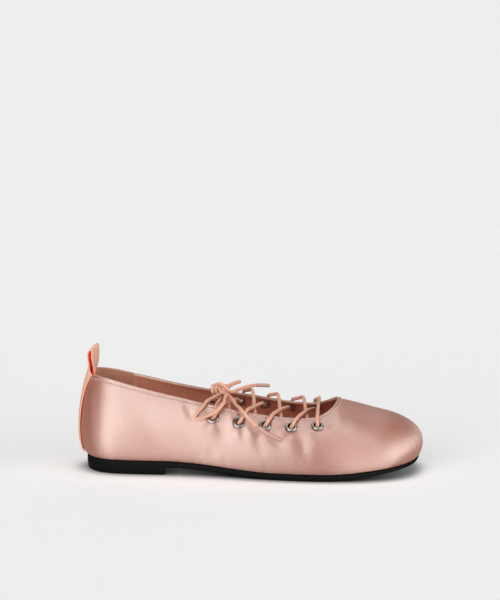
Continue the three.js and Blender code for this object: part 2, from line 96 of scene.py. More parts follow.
# Sections of the last: foot along, foot out, collar along, collar out, collar up, tuck out, tuck rise,
# wall out, wall up, brim out, brim drop. Places are shares of length, half ball breadth and back height.
SECTIONS = {
    "heel back": (0.030, 0.000, 0.028, 0.000, 0.994, 8.2, 0.5, 8.2, 0.571, 4.2, 14.0),
    "heel corner lateral": (0.053, -0.363, 0.040, -0.154, 0.976, 8.6, 1.0, 8.2, 0.543, 5.4, 12.5),
    "heel side lateral": (0.110, -0.538, 0.088, -0.325, 0.953, 7.5, 1.5, 8.0, 0.514, 6.5, 10.5),
    "quarter lateral": (0.216, -0.582, 0.192, -0.448, 0.870, 6.5, 1.5, 7.5, 0.457, 8.0, 9.5),
    "waist lateral": (0.344, -0.626, 0.336, -0.549, 0.768, 6.5, 1.5, 8.0, 0.429, 12.0, 7.0),
    "instep lateral": (0.480, -0.758, 0.476, -0.615, 0.672, 6.0, 2.0, 7.5, 0.414, 13.5, 4.4),
    "ball lateral": (0.608, -0.890, 0.592, -0.612, 0.620, 5.5, 2.0, 7.0, 0.407, 14.0, 3.8),
    "joint lateral": (0.724, -0.923, 0.676, -0.562, 0.612, 5.5, 2.0, 7.0, 0.400, 15.0, 3.4),
    "vamp lateral": (0.832, -0.846, 0.720, -0.440, 0.663, 6.0, 2.0, 8.0, 0.429, 19.0, 4.8),
    "toe side lateral": (0.918, -0.670, 0.741, -0.281, 0.711, 6.0, 2.0, 9.5, 0.486, 24.0, 8.5),
    "toe corner lateral": (0.968, -0.363, 0.750, -0.132, 0.741, 6.0, 1.8, 10.5, 0.600, 32.0, 12.2),
    "toe tip": (0.986, 0.044, 0.753, 0.022, 0.750, 6.0, 1.5, 10.8, 0.640, 36.0, 13.8),
    "toe corner medial": (0.982, 0.429, 0.750, 0.176, 0.741, 6.0, 1.8, 10.5, 0.600, 32.0, 12.2),
    "toe side medial": (0.940, 0.681, 0.741, 0.325, 0.711, 6.0, 2.0, 9.5, 0.486, 24.0, 8.5),
    "vamp medial": (0.852, 0.813, 0.720, 0.473, 0.663, 6.0, 2.0, 8.0, 0.429, 19.0, 4.8),
    "joint medial": (0.736, 0.890, 0.676, 0.580, 0.620, 5.5, 2.0, 7.5, 0.407, 15.0, 3.4),
    "ball medial": (0.616, 0.846, 0.592, 0.615, 0.640, 5.5, 2.0, 8.0, 0.421, 14.0, 3.8),
    "instep medial": (0.484, 0.681, 0.476, 0.611, 0.703, 6.0, 2.0, 8.5, 0.429, 13.5, 4.6),
    "waist medial": (0.348, 0.571, 0.336, 0.549, 0.780, 6.5, 1.5, 9.0, 0.429, 12.0, 7.0),
    "quarter medial": (0.216, 0.560, 0.192, 0.448, 0.897, 6.5, 1.5, 8.0, 0.457, 8.0, 9.5),
    "heel side medial": (0.110, 0.527, 0.088, 0.325, 0.986, 7.5, 1.5, 8.0, 0.514, 6.5, 11.0),
    "heel corner medial": (0.053, 0.363, 0.040, 0.154, 1.009, 8.6, 1.0, 8.2, 0.543, 5.4, 13.0),
}
TABLE = np.array(list(SECTIONS.values()))
ROUND = len(TABLE)
TOE = ROUND // 2

# How finely the form is worked out.
SPLINE_REACH = 10
SMALL_STEP = 1e-3
WALL_SECTIONS = 460
WALL_RISES = 260
WALL_LOWEST_RISE = 0.15


def smoothstep(x, low, high):
    """0 below low, 1 above high, and 3t^2 - 2t^3 between."""
    t = np.clip((x - low) / (high - low), 0.0, 1.0)
    return t * t * (3.0 - 2.0 * t)


def unit(vectors):
    """Each vector divided by its length."""
    return vectors / np.linalg.norm(vectors, axis=-1, keepdims=True)


def walked_along(points):
    """Distance of each point from the first, along the line through them."""
    return np.concatenate([[0.0], np.cumsum(np.linalg.norm(np.diff(points, axis=0), axis=1))])


def at_distance(distances, measure, points):
    """Points at the given distances on a line whose own points lie at the measure."""
    return np.stack([np.interp(distances, measure, column) for column in points.T], -1)


def ring_angles(count):
    """Even angles round a full turn."""
    return np.linspace(0.0, 2.0 * math.pi, count, endpoint=False)


def circles(side, up, angle):
    """For each pair of square directions, the unit vectors at the angles from the first to the second."""
    return np.cos(angle)[:, None] * side[:, None] + np.sin(angle)[:, None] * up[:, None]


def closed_spline(values, around):
    """Cubic spline with even knots through the rows of values, closed round the shoe."""
    decay = math.sqrt(3.0) - 2.0
    kink = np.roll(values, 1, 0) - 2.0 * values + np.roll(values, -1, 0)
    reach = range(-SPLINE_REACH, SPLINE_REACH + 1)
    bend = math.sqrt(3.0) * sum(decay ** abs(k) * np.roll(kink, -k, 0) for k in reach)
    first = np.floor(around).astype(int)
    t = (around - first)[..., None]
    s = 1.0 - t
    here = first % ROUND
    after = (first + 1) % ROUND
    pull = ((s ** 3 - s) * bend[here] + (t ** 3 - t) * bend[after]) / 6.0
    return s * values[here] + t * values[after] + pull


def sole_under(x):
    """Height of the sole's underside: arch behind the tread, flat tread, spring under the toe."""
    arch = HEEL_BLOCK * (1.0 - smoothstep(x, HEEL_BREAST, TREAD_BACK))
    lift = np.clip((x - TREAD_FRONT) / (LENGTH - TREAD_FRONT), 0.0, 1.0)
    return arch + TOE_SPRING * lift ** SPRING_POWER


def sole_top(x):
    """Underside plus the sole's thickness, which thins towards the toe."""
    return sole_under(x) + SOLE_THICK + (TOE_THICK - SOLE_THICK) * smoothstep(x, TREAD_FRONT, LENGTH)


def plan(around, column):
    """Plan curve of the foot's edge (column 0) or the collar (column 2), with its outward direction."""
    scale = np.array([LENGTH, HALF_BALL])
    pick = slice(column, column + 2)
    here = closed_spline(TABLE, around)[..., pick] * scale
    ahead = closed_spline(TABLE, around + SMALL_STEP)
    behind = closed_spline(TABLE, around - SMALL_STEP)
    run = (ahead - behind)[..., pick] * scale
    return here, unit(np.stack([run[..., 1], -run[..., 0]], -1))


def upper_point(around, rise):
    """The upper's outer face: at each section a quartic Bezier from the foot's edge to the collar."""
    around, rise = np.broadcast_arrays(np.asarray(around, float), np.asarray(rise, float))
    foot, foot_out = plan(around, 0)
    collar, collar_out = plan(around, 2)
    columns = np.moveaxis(closed_spline(TABLE, around), -1, 0)
    top = columns[4] * BACK_HEIGHT
    tuck_out, tuck_rise, wall_out, wall_up, brim_out, brim_drop = columns[5:11]
    seat = sole_top(foot[..., 0]) + GAP
    shaping = (
        (foot, seat),
        (foot + foot_out * tuck_out[..., None], seat + tuck_rise),
        (foot + foot_out * wall_out[..., None], wall_up * BACK_HEIGHT),
        (collar + collar_out * brim_out[..., None], top - brim_drop),
        (collar, top),
    )
    fall = 1.0 - rise
    weights = (fall ** 4, 4 * fall ** 3 * rise, 6 * fall ** 2 * rise ** 2, 4 * fall * rise ** 3, rise ** 4)
    return sum(
        np.concatenate([flat, height[..., None]], -1) * weight[..., None]
        for (flat, height), weight in zip(shaping, weights)
    )


def upper_frame(around, rise):
    """Outward normal of the upper and its direction towards the collar, by small differences."""
    along = upper_point(around + SMALL_STEP, rise) - upper_point(around - SMALL_STEP, rise)
    above = upper_point(around, np.minimum(rise + SMALL_STEP, 1.0))
    below = upper_point(around, np.maximum(rise - SMALL_STEP, 0.0))
    up = above - below
    return unit(np.cross(along, up)), unit(up)


def wall_table(side):
    """Sections and rises on one side, with each point's straight distance below the collar."""
    sections = np.linspace(0.0, TOE, WALL_SECTIONS)
    rises = np.linspace(WALL_LOWEST_RISE, 1.0, WALL_RISES)
    around = sections if side == LATERAL else ROUND - sections
    points = upper_point(around[:, None], rises[None, :])
    drops = np.linalg.norm(points - points[:, -1:], axis=-1)
    return around, rises, drops


WALLS = {side: wall_table(side) for side in SIDE_NAMES}


def wall_place(side, x, drop):
    """Section and rise of the place at x whose distance below the collar is drop."""
    arounds, rises, drops = WALLS[side]
    rise = np.array([np.interp(drop, row[::-1], rises[::-1]) for row in drops])
    along = upper_point(arounds, rise)[:, 0]
    return np.interp(x, along, arounds), np.interp(x, along, rise)


def on_wall(side, x, drop, lift):
    """A point over the satin at x, drop below the collar, lifted along the normal."""
    around, rise = wall_place(side, x, drop)
    normal, _ = upper_frame(around, rise)
    return upper_point(around, rise) + normal * lift


def over_opening(x, across, height):
    """A point over the opening: across is -1 at the outer collar edge and 1 at the inner one."""
    side = LATERAL if across < 0 else MEDIAL
    arounds = WALLS[side][0]
    edge = upper_point(arounds, 1.0)
    y = np.interp(x, edge[:, 0], np.abs(edge[:, 1]))
    z = np.interp(x, edge[:, 0], edge[:, 2])
    return np.array([x, y * across, z + height])


def eyelet_x(number):
    """Distance of an eyelet from the heel."""
    return FIRST_EYELET - (number - 1) * EYELET_PITCH


def eyelet_seat(side, number):
    """An eyelet's place on the satin, the way it faces and the way to the collar."""
    around, rise = wall_place(side, eyelet_x(number), EYELET_DROP)
    normal, up = upper_frame(around, rise)
    return upper_point(around, rise), normal, up


SEATS = {
    (side, number): eyelet_seat(side, number)
    for side in SIDE_NAMES
    for number in range(1, EYELETS + 1)
}


def ring_quads(rows, columns, looped=False):
    """Corner numbers of the quads between rings of points, the last ring joined to the first where looped."""
    i, j = np.meshgrid(np.arange(rows if looped else rows - 1), np.arange(columns), indexing="ij")
    after = (i + 1) % rows
    beside = (j + 1) % columns
    corners = [i * columns + j, i * columns + beside, after * columns + beside, after * columns + j]
    return np.stack(corners, -1).reshape(-1, 4)


def end_lids(rows, columns):
    """Corner numbers of the two faces that close a stack of rings."""
    return np.arange(columns)[::-1], np.arange(columns) + (rows - 1) * columns


def ring_map(distances, columns, step):
    """Corner map of rings with two lids: steps round the ring, then each ring's distance."""
    row = np.repeat(np.arange(len(distances) - 1), columns)
    column = np.tile(np.arange(columns), len(distances) - 1)
    around = np.stack([column, column + 1, column + 1, column], -1) * step
    along = np.stack([distances[row], distances[row], distances[row + 1], distances[row + 1]], -1)
    return np.concatenate([np.stack([around, along], -1).reshape(-1, 2), np.zeros((2 * columns, 2))])


def add_piece(name, points, quads, materials, lids=(), slots=None, maps=None):
    """A mesh piece from millimetre points: quads, lids of any count, material numbers, named corner maps."""
    mesh = bpy.data.meshes.new(name)
    placed = (np.asarray(points, float) - MIDDLE) * MM
    corners = np.concatenate([quads.ravel()] + [np.asarray(lid).ravel() for lid in lids])
    counts = np.concatenate([np.full(len(quads), 4)] + [[len(lid)] for lid in lids]).astype(int)
    mesh.vertices.add(len(placed))
    mesh.vertices.foreach_set("co", placed.ravel())
    mesh.loops.add(len(corners))
    mesh.loops.foreach_set("vertex_index", corners.astype(np.int32))
    mesh.polygons.add(len(counts))
    starts = np.concatenate([[0], np.cumsum(counts)[:-1]])
    mesh.polygons.foreach_set("loop_start", starts.astype(np.int32))
    if slots is not None:
        mesh.polygons.foreach_set("material_index", np.asarray(slots, np.int32))
    for label, corners_uv in (maps or {}).items():
        layer = mesh.uv_layers.new(name=label)
        layer.data.foreach_set("uv", np.asarray(corners_uv, float).ravel())
    mesh.update(calc_edges=True)
    mesh.shade_smooth()
    for material in materials:
        mesh.materials.append(material)
    piece = bpy.data.objects.new(name, mesh)
    bpy.context.scene.collection.objects.link(piece)
    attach(piece, "root")
    return piece


# Camera, floor and light.
CAMERA_ELEVATION = math.radians(13.0)
CAMERA_ROLL = math.radians(0.75)
CAMERA_DISTANCE = 2200.0
CAMERA_REACH = 100.0
MM_PER_PIXEL = 0.729
IMAGE_HEIGHT = 600
SENSOR_HEIGHT = 24.0
FRAMED_POINT = np.array([125.0, 0.0, 0.0])
FRAMED_RIGHT_PIXELS = 2.66
FRAMED_DOWN_PIXELS = 167.4


def make_camera():
    """A long lens at the photograph's height, aimed so that the shoe's middle falls where it does there."""
    back = np.array([0.0, -math.cos(CAMERA_ELEVATION), math.sin(CAMERA_ELEVATION)])
    up = np.array([0.0, math.sin(CAMERA_ELEVATION), math.cos(CAMERA_ELEVATION)])
    right = np.array([1.0, 0.0, 0.0])
    eye = FRAMED_POINT + back * CAMERA_DISTANCE
    aim = FRAMED_POINT + (up * FRAMED_DOWN_PIXELS - right * FRAMED_RIGHT_PIXELS) * MM_PER_PIXEL
    data = bpy.data.cameras.new("camera")
    data.sensor_fit = "VERTICAL"
    data.sensor_height = SENSOR_HEIGHT
    data.lens = SENSOR_HEIGHT * CAMERA_DISTANCE / (MM_PER_PIXEL * IMAGE_HEIGHT)
    data.clip_end = CAMERA_REACH
    camera = bpy.data.objects.new("camera", data)
    look = Vector((aim - eye) * MM)
    turn = look.to_track_quat("-Z", "Y").to_matrix().to_4x4()
    roll = Matrix.Rotation(CAMERA_ROLL, 4, "Z")
    camera.matrix_world = Matrix.Translation(Vector((eye - MIDDLE) * MM)) @ turn @ roll
    bpy.context.scene.collection.objects.link(camera)
    bpy.context.scene.camera = camera


# Soft lights by the way they stand from the shoe, and their strength.
LIGHTS = {
    "front_left_light": ((-0.38, -0.82, 0.46), 0.92),
    "front_light": ((-0.5, -0.86, 0.1), 1.18),
    "front_right_light": ((0.6, -0.8, 0.1), 0.7),
    "right_light": ((0.93, -0.35, 0.12), 1.5),
    "back_light": ((0.2, 0.9, 0.3), 0.35),
    "top_light": ((0.0, 0.0, 1.0), 1.26),
}
LIGHT_SPREAD = 45.0
WHITE = (1.0, 1.0, 1.0, 1.0)
BLACK = (0.0, 0.0, 0.0, 1.0)
FLOOR_REACH = 40.0
FLOOR_LEVEL = -0.0002
FLOOR_COLOUR = (0.9, 0.9, 0.9, 1)
FLOOR_GLOW = 0.18
FLOOR_SHADE = 0.011
MIRROR_LOSS = 0.7
# Painted reflections of white cards in front of the shoe on both sides of a gap, seen by glossy rays only:
# where the gap lies along x, how its sides fade in with distance from its middle, and how they fade in and
# out along y.
REFLECTION_GAP_X = 0.024
REFLECTION_GAP = (0.03, 0.06)
REFLECTION_NEAR = (-0.03, -0.07)
REFLECTION_FAR = (-0.45, -0.3)
REFLECTION_GLOW = 1.9
ROOM_GLOW = 0.02


def make_sun(name, toward, strength, spread):
    """A far soft light: toward points from the shoe to it, spread is its width in degrees."""
    data = bpy.data.lights.new(name, "SUN")
    data.energy = strength
    data.angle = math.radians(spread)
    lamp = bpy.data.objects.new(name, data)
    lamp.rotation_euler = Vector(toward).to_track_quat("Z", "Y").to_euler()
    bpy.context.scene.collection.objects.link(lamp)


def feed(tree, socket, value):
    """Links another node's output into the socket, or sets the socket to a plain value."""
    if isinstance(value, bpy.types.NodeSocket):
        tree.links.new(value, socket)
    else:
        socket.default_value = value


def math_node(tree, operation, *values):
    """A maths node whose inputs are sockets or numbers."""
    node = tree.nodes.new("ShaderNodeMath")
    node.operation = operation
    for socket, value in zip(node.inputs, values):
        feed(tree, socket, value)
    return node.outputs[0]


def mix_node(tree, factor, first, second):
    """The first colour where the factor is 0 and the second where it is 1."""
    node = tree.nodes.new("ShaderNodeMix")
    node.data_type = "RGBA"
    feed(tree, node.inputs["Factor"], factor)
    feed(tree, node.inputs["A"], first)
    feed(tree, node.inputs["B"], second)
    return node.outputs["Result"]


def ramp_node(tree, value, ends=(0.0, 1.0), results=(0.0, 1.0), smooth=False):
    """The first result at the first end, the second at the second, held beyond both."""
    node = tree.nodes.new("ShaderNodeMapRange")
    if smooth:
        node.interpolation_type = "SMOOTHSTEP"
    node.inputs["From Min"].default_value, node.inputs["From Max"].default_value = ends
    node.inputs["To Min"].default_value, node.inputs["To Max"].default_value = results
    tree.links.new(value, node.inputs["Value"])
    return node.outputs["Result"]


def split_vector(tree, vector):
    """The first two parts of a coordinate."""
    node = tree.nodes.new("ShaderNodeSeparateXYZ")
    tree.links.new(vector, node.inputs[0])
    return node.outputs["X"], node.outputs["Y"]


def floor_paint():
    """Pale matte paint that glows a little, with a painted contact shadow under the shoe.

    Glossy rays see it dimmer than it is, a painted reflection, apart from two bright patches close in front
    of the shoe that glow for glossy rays only: painted reflections of white cards that are not there.
    """
    paint = bpy.data.materials.new("floor_paint")
    paint.use_nodes = True
    tree = paint.node_tree
    shader = tree.nodes["Principled BSDF"]
    shader.inputs["Roughness"].default_value = 1.0
    shader.inputs["Specular IOR Level"].default_value = 0.0
    shader.inputs["Emission Color"].default_value = WHITE
    shade = tree.nodes.new("ShaderNodeAmbientOcclusion")
    shade.inputs["Color"].default_value = FLOOR_COLOUR
    shade.inputs["Distance"].default_value = FLOOR_SHADE
    mirrored = tree.nodes.new("ShaderNodeLightPath").outputs["Is Glossy Ray"]
    loss = math_node(tree, "MULTIPLY", mirrored, MIRROR_LOSS)
    feed(tree, shader.inputs["Base Color"], mix_node(tree, loss, shade.outputs["Color"], BLACK))
    x, y = split_vector(tree, tree.nodes.new("ShaderNodeTexCoord").outputs["Object"])
    # Painted reflections: two patches of floor that glow for glossy rays only.
    aside = math_node(tree, "ABSOLUTE", math_node(tree, "SUBTRACT", x, REFLECTION_GAP_X))
    painted_reflection = ramp_node(tree, aside, REFLECTION_GAP)
    for ends in (REFLECTION_NEAR, REFLECTION_FAR):
        painted_reflection = math_node(tree, "MULTIPLY", painted_reflection, ramp_node(tree, y, ends))
    shine = math_node(tree, "MULTIPLY", math_node(tree, "MULTIPLY", painted_reflection, mirrored), REFLECTION_GLOW)
    glow = math_node(tree, "MULTIPLY", shade.outputs["AO"], FLOOR_GLOW)
    feed(tree, shader.inputs["Emission Strength"], math_node(tree, "ADD", glow, shine))
    return paint


def make_studio():
    """Pale floor and soft lights at the front, the right, behind and above."""
    mesh = bpy.data.meshes.new("floor")
    turns = ((-1, -1), (1, -1), (1, 1), (-1, 1))
    corners = [(x * FLOOR_REACH, y * FLOOR_REACH, FLOOR_LEVEL) for x, y in turns]
    mesh.from_pydata(corners, [], [(0, 1, 2, 3)])
    floor = bpy.data.objects.new("floor", mesh)
    bpy.context.scene.collection.objects.link(floor)
    mesh.materials.append(floor_paint())
    room = bpy.data.worlds.new("room")
    room.use_nodes = True
    backdrop = room.node_tree.nodes["Background"]
    backdrop.inputs["Color"].default_value = WHITE
    backdrop.inputs["Strength"].default_value = ROOM_GLOW
    bpy.context.scene.world = room
    for name, (toward, strength) in LIGHTS.items():
        make_sun(name, toward, strength, LIGHT_SPREAD)
    view = bpy.context.scene.view_settings
    view.view_transform = "Standard"
    view.look = "None"
    view.exposure = 0.0


# Colours, most of them as the dark and the light end of a soft mottle.
SATIN_COLOURS = ((0.49, 0.158, 0.102, 1), (0.67, 0.224, 0.149, 1))
SATIN_DEEP = (0.29, 0.086, 0.055, 1)
SATIN_SHEEN = (1.0, 0.95, 0.88, 1)
# Painted shade in the needle pits below the collar.
SATIN_PIT_SHADE = (0.26, 0.075, 0.048, 1)
LINING_COLOURS = ((0.58, 0.245, 0.16, 1), (0.74, 0.325, 0.222, 1))
GRIP_COLOURS = ((0.50, 0.24, 0.155, 1), (0.62, 0.305, 0.205, 1))
EDGE_COLOURS = ((0.86, 0.66, 0.46, 1), (0.96, 0.82, 0.63, 1))
# Painted shade in the cut edge's nicks, in the lining's darker colour.
EDGE_NICK_SHADE = LINING_COLOURS[1]
THREAD_COLOURS = ((0.72, 0.45, 0.37, 1), (0.86, 0.60, 0.52, 1))
LINING_THREAD_COLOURS = ((0.17, 0.07, 0.045, 1), (0.24, 0.10, 0.07, 1))
TAPE_COLOURS = ((0.81, 0.445, 0.325, 1), (0.91, 0.55, 0.415, 1))
BACKING_COLOURS = ((0.74, 0.085, 0.015, 1), (0.86, 0.13, 0.03, 1))
# Colour of the painted glow on the tape's backing.
BACKING_PAINTED_GLOW = BACKING_COLOURS[1]
RUBBER_COLOURS = ((0.003, 0.003, 0.0031, 1), (0.0055, 0.0055, 0.0057, 1))
NICKEL_COLOURS = ((0.26, 0.255, 0.245, 1), (0.40, 0.39, 0.375, 1))
LACE_COLOURS = ((0.74, 0.37, 0.25, 1), (0.88, 0.50, 0.36, 1))
AGLET_COLOURS = ((0.52, 0.28, 0.205, 1), (0.66, 0.38, 0.295, 1))


# Shader node groups and materials.
def new_group(name, inputs, outputs):
    """An empty shader group with float, vector or colour sockets."""
    group = bpy.data.node_groups.new(name, "ShaderNodeTree")
    for label, kind, value in inputs:
        socket = group.interface.new_socket(label, in_out="INPUT", socket_type=kind)
        if value is not None:
            socket.default_value = value
    for label, kind in outputs:
        group.interface.new_socket(label, in_out="OUTPUT", socket_type=kind)
    return group, group.nodes.new("NodeGroupInput"), group.nodes.new("NodeGroupOutput")


def weave_group():
    """Height of crossed threads: half of one plus the product of a sine along x and one along y."""
    inputs = [
        ("Vector", "NodeSocketVector", None),
        ("Across", "NodeSocketFloat", 2.0),
        ("Along", "NodeSocketFloat", 2.0),
        ("Slant", "NodeSocketFloat", 0.0),
    ]
    group, source, result = new_group("threads", inputs, [("Height", "NodeSocketFloat")])
    x, y = split_vector(group, source.outputs["Vector"])
    slanted = math_node(group, "ADD", x, math_node(group, "MULTIPLY", y, source.outputs["Slant"]))
    waves = []
    for place, label in ((slanted, "Across"), (y, "Along")):
        turns = math_node(group, "MULTIPLY", place, source.outputs[label])
        waves.append(math_node(group, "SINE", math_node(group, "MULTIPLY", turns, 2.0 * math.pi)))
    both = math_node(group, "MULTIPLY", *waves)
    height = math_node(group, "ADD", math_node(group, "MULTIPLY", both, 0.5), 0.5)
    group.links.new(height, result.inputs["Height"])
    return group


def mottle_group():
    """Two colours mixed by soft noise, with the noise itself as a second output."""
    inputs = [
        ("Vector", "NodeSocketVector", None),
        ("Scale", "NodeSocketFloat", 60.0),
        ("Dark", "NodeSocketColor", (0.2, 0.2, 0.2, 1.0)),
        ("Light", "NodeSocketColor", (0.8, 0.8, 0.8, 1.0)),
    ]
    outputs = [("Color", "NodeSocketColor"), ("Noise", "NodeSocketFloat")]
    group, source, result = new_group("mottle", inputs, outputs)
    noise = group.nodes.new("ShaderNodeTexNoise")
    noise.inputs["Detail"].default_value = 4.0
    noise.inputs["Roughness"].default_value = 0.6
    group.links.new(source.outputs["Vector"], noise.inputs["Vector"])
    group.links.new(source.outputs["Scale"], noise.inputs["Scale"])
    colour = mix_node(group, noise.outputs["Fac"], source.outputs["Dark"], source.outputs["Light"])
    group.links.new(colour, result.inputs["Color"])
    group.links.new(noise.outputs["Fac"], result.inputs["Noise"])
    return group


# Share of a needle hole's size that is fully sunk and, as painted shade, fully dark.
PIT_CORE = 0.35


def pits_group():
    """1 at needle holes set at even steps in a row below an edge, fading to 0 at their rim."""
    inputs = [
        ("Vector", "NodeSocketVector", None),
        ("Pitch", "NodeSocketFloat", 2.0),
        ("Row", "NodeSocketFloat", 2.0),
        ("Size", "NodeSocketFloat", 0.5),
    ]
    group, source, result = new_group("needle_pits", inputs, [("Mask", "NodeSocketFloat")])
    x, y = split_vector(group, source.outputs["Vector"])
    steps = math_node(group, "ADD", math_node(group, "DIVIDE", x, source.outputs["Pitch"]), 0.5)
    share = math_node(group, "SUBTRACT", math_node(group, "FRACT", steps), 0.5)
    along = math_node(group, "MULTIPLY", share, source.outputs["Pitch"])
    across = math_node(group, "SUBTRACT", y, source.outputs["Row"])
    squares = [math_node(group, "MULTIPLY", distance, distance) for distance in (along, across)]
    away = math_node(group, "SQRT", math_node(group, "ADD", *squares))
    share_out = math_node(group, "DIVIDE", away, source.outputs["Size"])
    mask = ramp_node(group, share_out, ends=(PIT_CORE, 1.0), results=(1.0, 0.0), smooth=True)
    group.links.new(mask, result.inputs["Mask"])
    return group


def slubs_group():
    """Uneven threads: noise drawn out along the map's first axis, both sizes in the map's own units."""
    inputs = [
        ("Vector", "NodeSocketVector", None),
        ("Along", "NodeSocketFloat", 2.0),
        ("Across", "NodeSocketFloat", 0.5),
    ]
    group, source, result = new_group("thread_slubs", inputs, [("Height", "NodeSocketFloat")])
    x, y = split_vector(group, source.outputs["Vector"])
    joined = group.nodes.new("ShaderNodeCombineXYZ")
    feed(group, joined.inputs["X"], math_node(group, "DIVIDE", x, source.outputs["Along"]))
    feed(group, joined.inputs["Y"], math_node(group, "DIVIDE", y, source.outputs["Across"]))
    noise = group.nodes.new("ShaderNodeTexNoise")
    noise.inputs["Scale"].default_value = 1.0
    noise.inputs["Detail"].default_value = 2.0
    group.links.new(joined.outputs["Vector"], noise.inputs["Vector"])
    group.links.new(noise.outputs["Fac"], result.inputs["Height"])
    return group


THREADS = weave_group()
SLUBS = slubs_group()
PITS = pits_group()
MOTTLE = mottle_group()


class Finish:
    """A material with a Principled shader, coordinates and a chain of bumps."""

    def __init__(self, name, **values):
        self.material = bpy.data.materials.new(name)
        self.material.use_nodes = True
        self.tree = self.material.node_tree
        self.shader = self.tree.nodes["Principled BSDF"]
        self.place = self.tree.nodes.new("ShaderNodeTexCoord")
        self.bumped = None
        for label, value in values.items():
            self.shader.inputs[label.replace("_", " ")].default_value = value

    def group(self, tree, vector, **values):
        """One of the shared groups, fed by a coordinate and its own values."""
        node = self.tree.nodes.new("ShaderNodeGroup")
        node.node_tree = tree
        self.tree.links.new(vector, node.inputs["Vector"])
        for label, value in values.items():
            node.inputs[label].default_value = value
        return node

    def mottle(self, scale, colours=None):
        """Soft noise over the piece, between two colours where they are given."""
        node = self.group(MOTTLE, self.place.outputs["Object"], Scale=scale)
        if colours is not None:
            node.inputs["Dark"].default_value, node.inputs["Light"].default_value = colours
        return node

    def map(self, label):
        """One of the piece's own surface maps."""
        node = self.tree.nodes.new("ShaderNodeUVMap")
        node.uv_map = label
        return node.outputs["UV"]

    def colour(self, socket):
        """Base colour from a socket."""
        self.tree.links.new(socket, self.shader.inputs["Base Color"])

    def stained(self, socket, mask, stain):
        """A colour that turns to the stain where the mask is 1."""
        return mix_node(self.tree, mask, socket, stain)

    def roughness(self, socket, low, high):
        """Roughness between two values by a 0 to 1 mask."""
        rough = ramp_node(self.tree, socket, results=(low, high))
        self.tree.links.new(rough, self.shader.inputs["Roughness"])

    def bump(self, socket, strength, depth_mm):
        """A bump on top of those already there."""
        node = self.tree.nodes.new("ShaderNodeBump")
        node.inputs["Strength"].default_value = strength
        node.inputs["Distance"].default_value = depth_mm * MM
        self.tree.links.new(socket, node.inputs["Height"])
        if self.bumped is not None:
            self.tree.links.new(self.bumped, node.inputs["Normal"])
        self.bumped = node.outputs["Normal"]
        self.tree.links.new(self.bumped, self.shader.inputs["Normal"])

    def tangent(self):
        """Thread direction for a stretched highlight, along the surface map's first axis."""
        node = self.tree.nodes.new("ShaderNodeTangent")
        node.direction_type = "UV_MAP"
        node.uv_map = "surface"
        self.tree.links.new(node.outputs["Tangent"], self.shader.inputs["Tangent"])


def satin_finish():
    """Silky threads that stretch the highlights across them, with needle pits at the collar: dents whose
    colour is darkened as painted shade.
    """
    finish = Finish(
        "satin", IOR=2.3, Specular_IOR_Level=1.0, Specular_Tint=SATIN_SHEEN,
        Anisotropic=0.95, Anisotropic_Rotation=0.25,
    )
    base = finish.mottle(520.0, SATIN_COLOURS)
    pits = finish.group(PITS, finish.map("edge"), Pitch=STITCH_PITCH, Row=STITCH_DROP, Size=0.75)
    slubs = finish.group(SLUBS, finish.map("surface"), Along=3.2, Across=0.6)
    woven = finish.stained(base.outputs["Color"], slubs.outputs["Height"], SATIN_DEEP)
    # The pits are dented and also coloured dark: painted shade in the holes.
    finish.colour(finish.stained(woven, pits.outputs["Mask"], SATIN_PIT_SHADE))
    finish.roughness(base.outputs["Noise"], 0.39, 0.45)
    finish.bump(slubs.outputs["Height"], strength=1.0, depth_mm=0.16)
    finish.bump(finish.mottle(1100.0).outputs["Noise"], strength=0.5, depth_mm=0.2)
    finish.bump(pits.outputs["Mask"], strength=1.0, depth_mm=-0.35)
    finish.tangent()
    return finish.material


def grained_finish(name, colours, mottle, grain, strength, depth_mm, **values):
    """Two mottled colours with a finer grain: the scale of each, and the grain's strength and depth."""
    finish = Finish(name, **values)
    finish.colour(finish.mottle(mottle, colours).outputs["Color"])
    finish.bump(finish.mottle(grain).outputs["Noise"], strength, depth_mm)
    return finish.material


def cut_edge_finish():
    """The pale turned edge inside the collar, nicked at every stitch, each nick coloured darker as painted
    shade.
    """
    finish = Finish("cut_edge", Roughness=0.7)
    base = finish.mottle(500.0, EDGE_COLOURS)
    nicks = finish.group(PITS, finish.map("edge"), Pitch=STITCH_PITCH, Row=0.5, Size=0.7)
    # Painted shade: each nick is coloured darker, in the lining's colour.
    finish.colour(finish.stained(base.outputs["Color"], nicks.outputs["Mask"], EDGE_NICK_SHADE))
    finish.bump(nicks.outputs["Mask"], strength=1.0, depth_mm=-0.2)
    return finish.material


def thread_finish(name, colours):
    """Plain sewing thread."""
    finish = Finish(name, Roughness=0.5)
    finish.colour(finish.mottle(900.0, colours).outputs["Color"])
    return finish.material


def woven_finish(name, colours, mottle, weave, strength, depth_mm, **values):
    """Two mottled colours over threads that follow the piece's own map."""
    finish = Finish(name, **values)
    finish.colour(finish.mottle(mottle, colours).outputs["Color"])
    threads = finish.group(THREADS, finish.map("surface"), **weave)
    finish.bump(threads.outputs["Height"], strength, depth_mm)
    return finish.material


def rubber_finish(name, ribs):
    """Matte black rubber, with fine cross ribs where it treads."""
    finish = Finish(name, Specular_IOR_Level=0.12)
    base = finish.mottle(90.0, RUBBER_COLOURS)
    finish.colour(base.outputs["Color"])
    finish.roughness(base.outputs["Noise"], 0.6, 0.75)
    finish.bump(finish.mottle(1400.0).outputs["Noise"], strength=0.25, depth_mm=0.1)
    if ribs:
        tread = finish.group(THREADS, finish.place.outputs["Object"], Across=220.0, Along=220.0, Slant=1.0)
        finish.bump(tread.outputs["Height"], strength=0.6, depth_mm=0.6)
    return finish.material


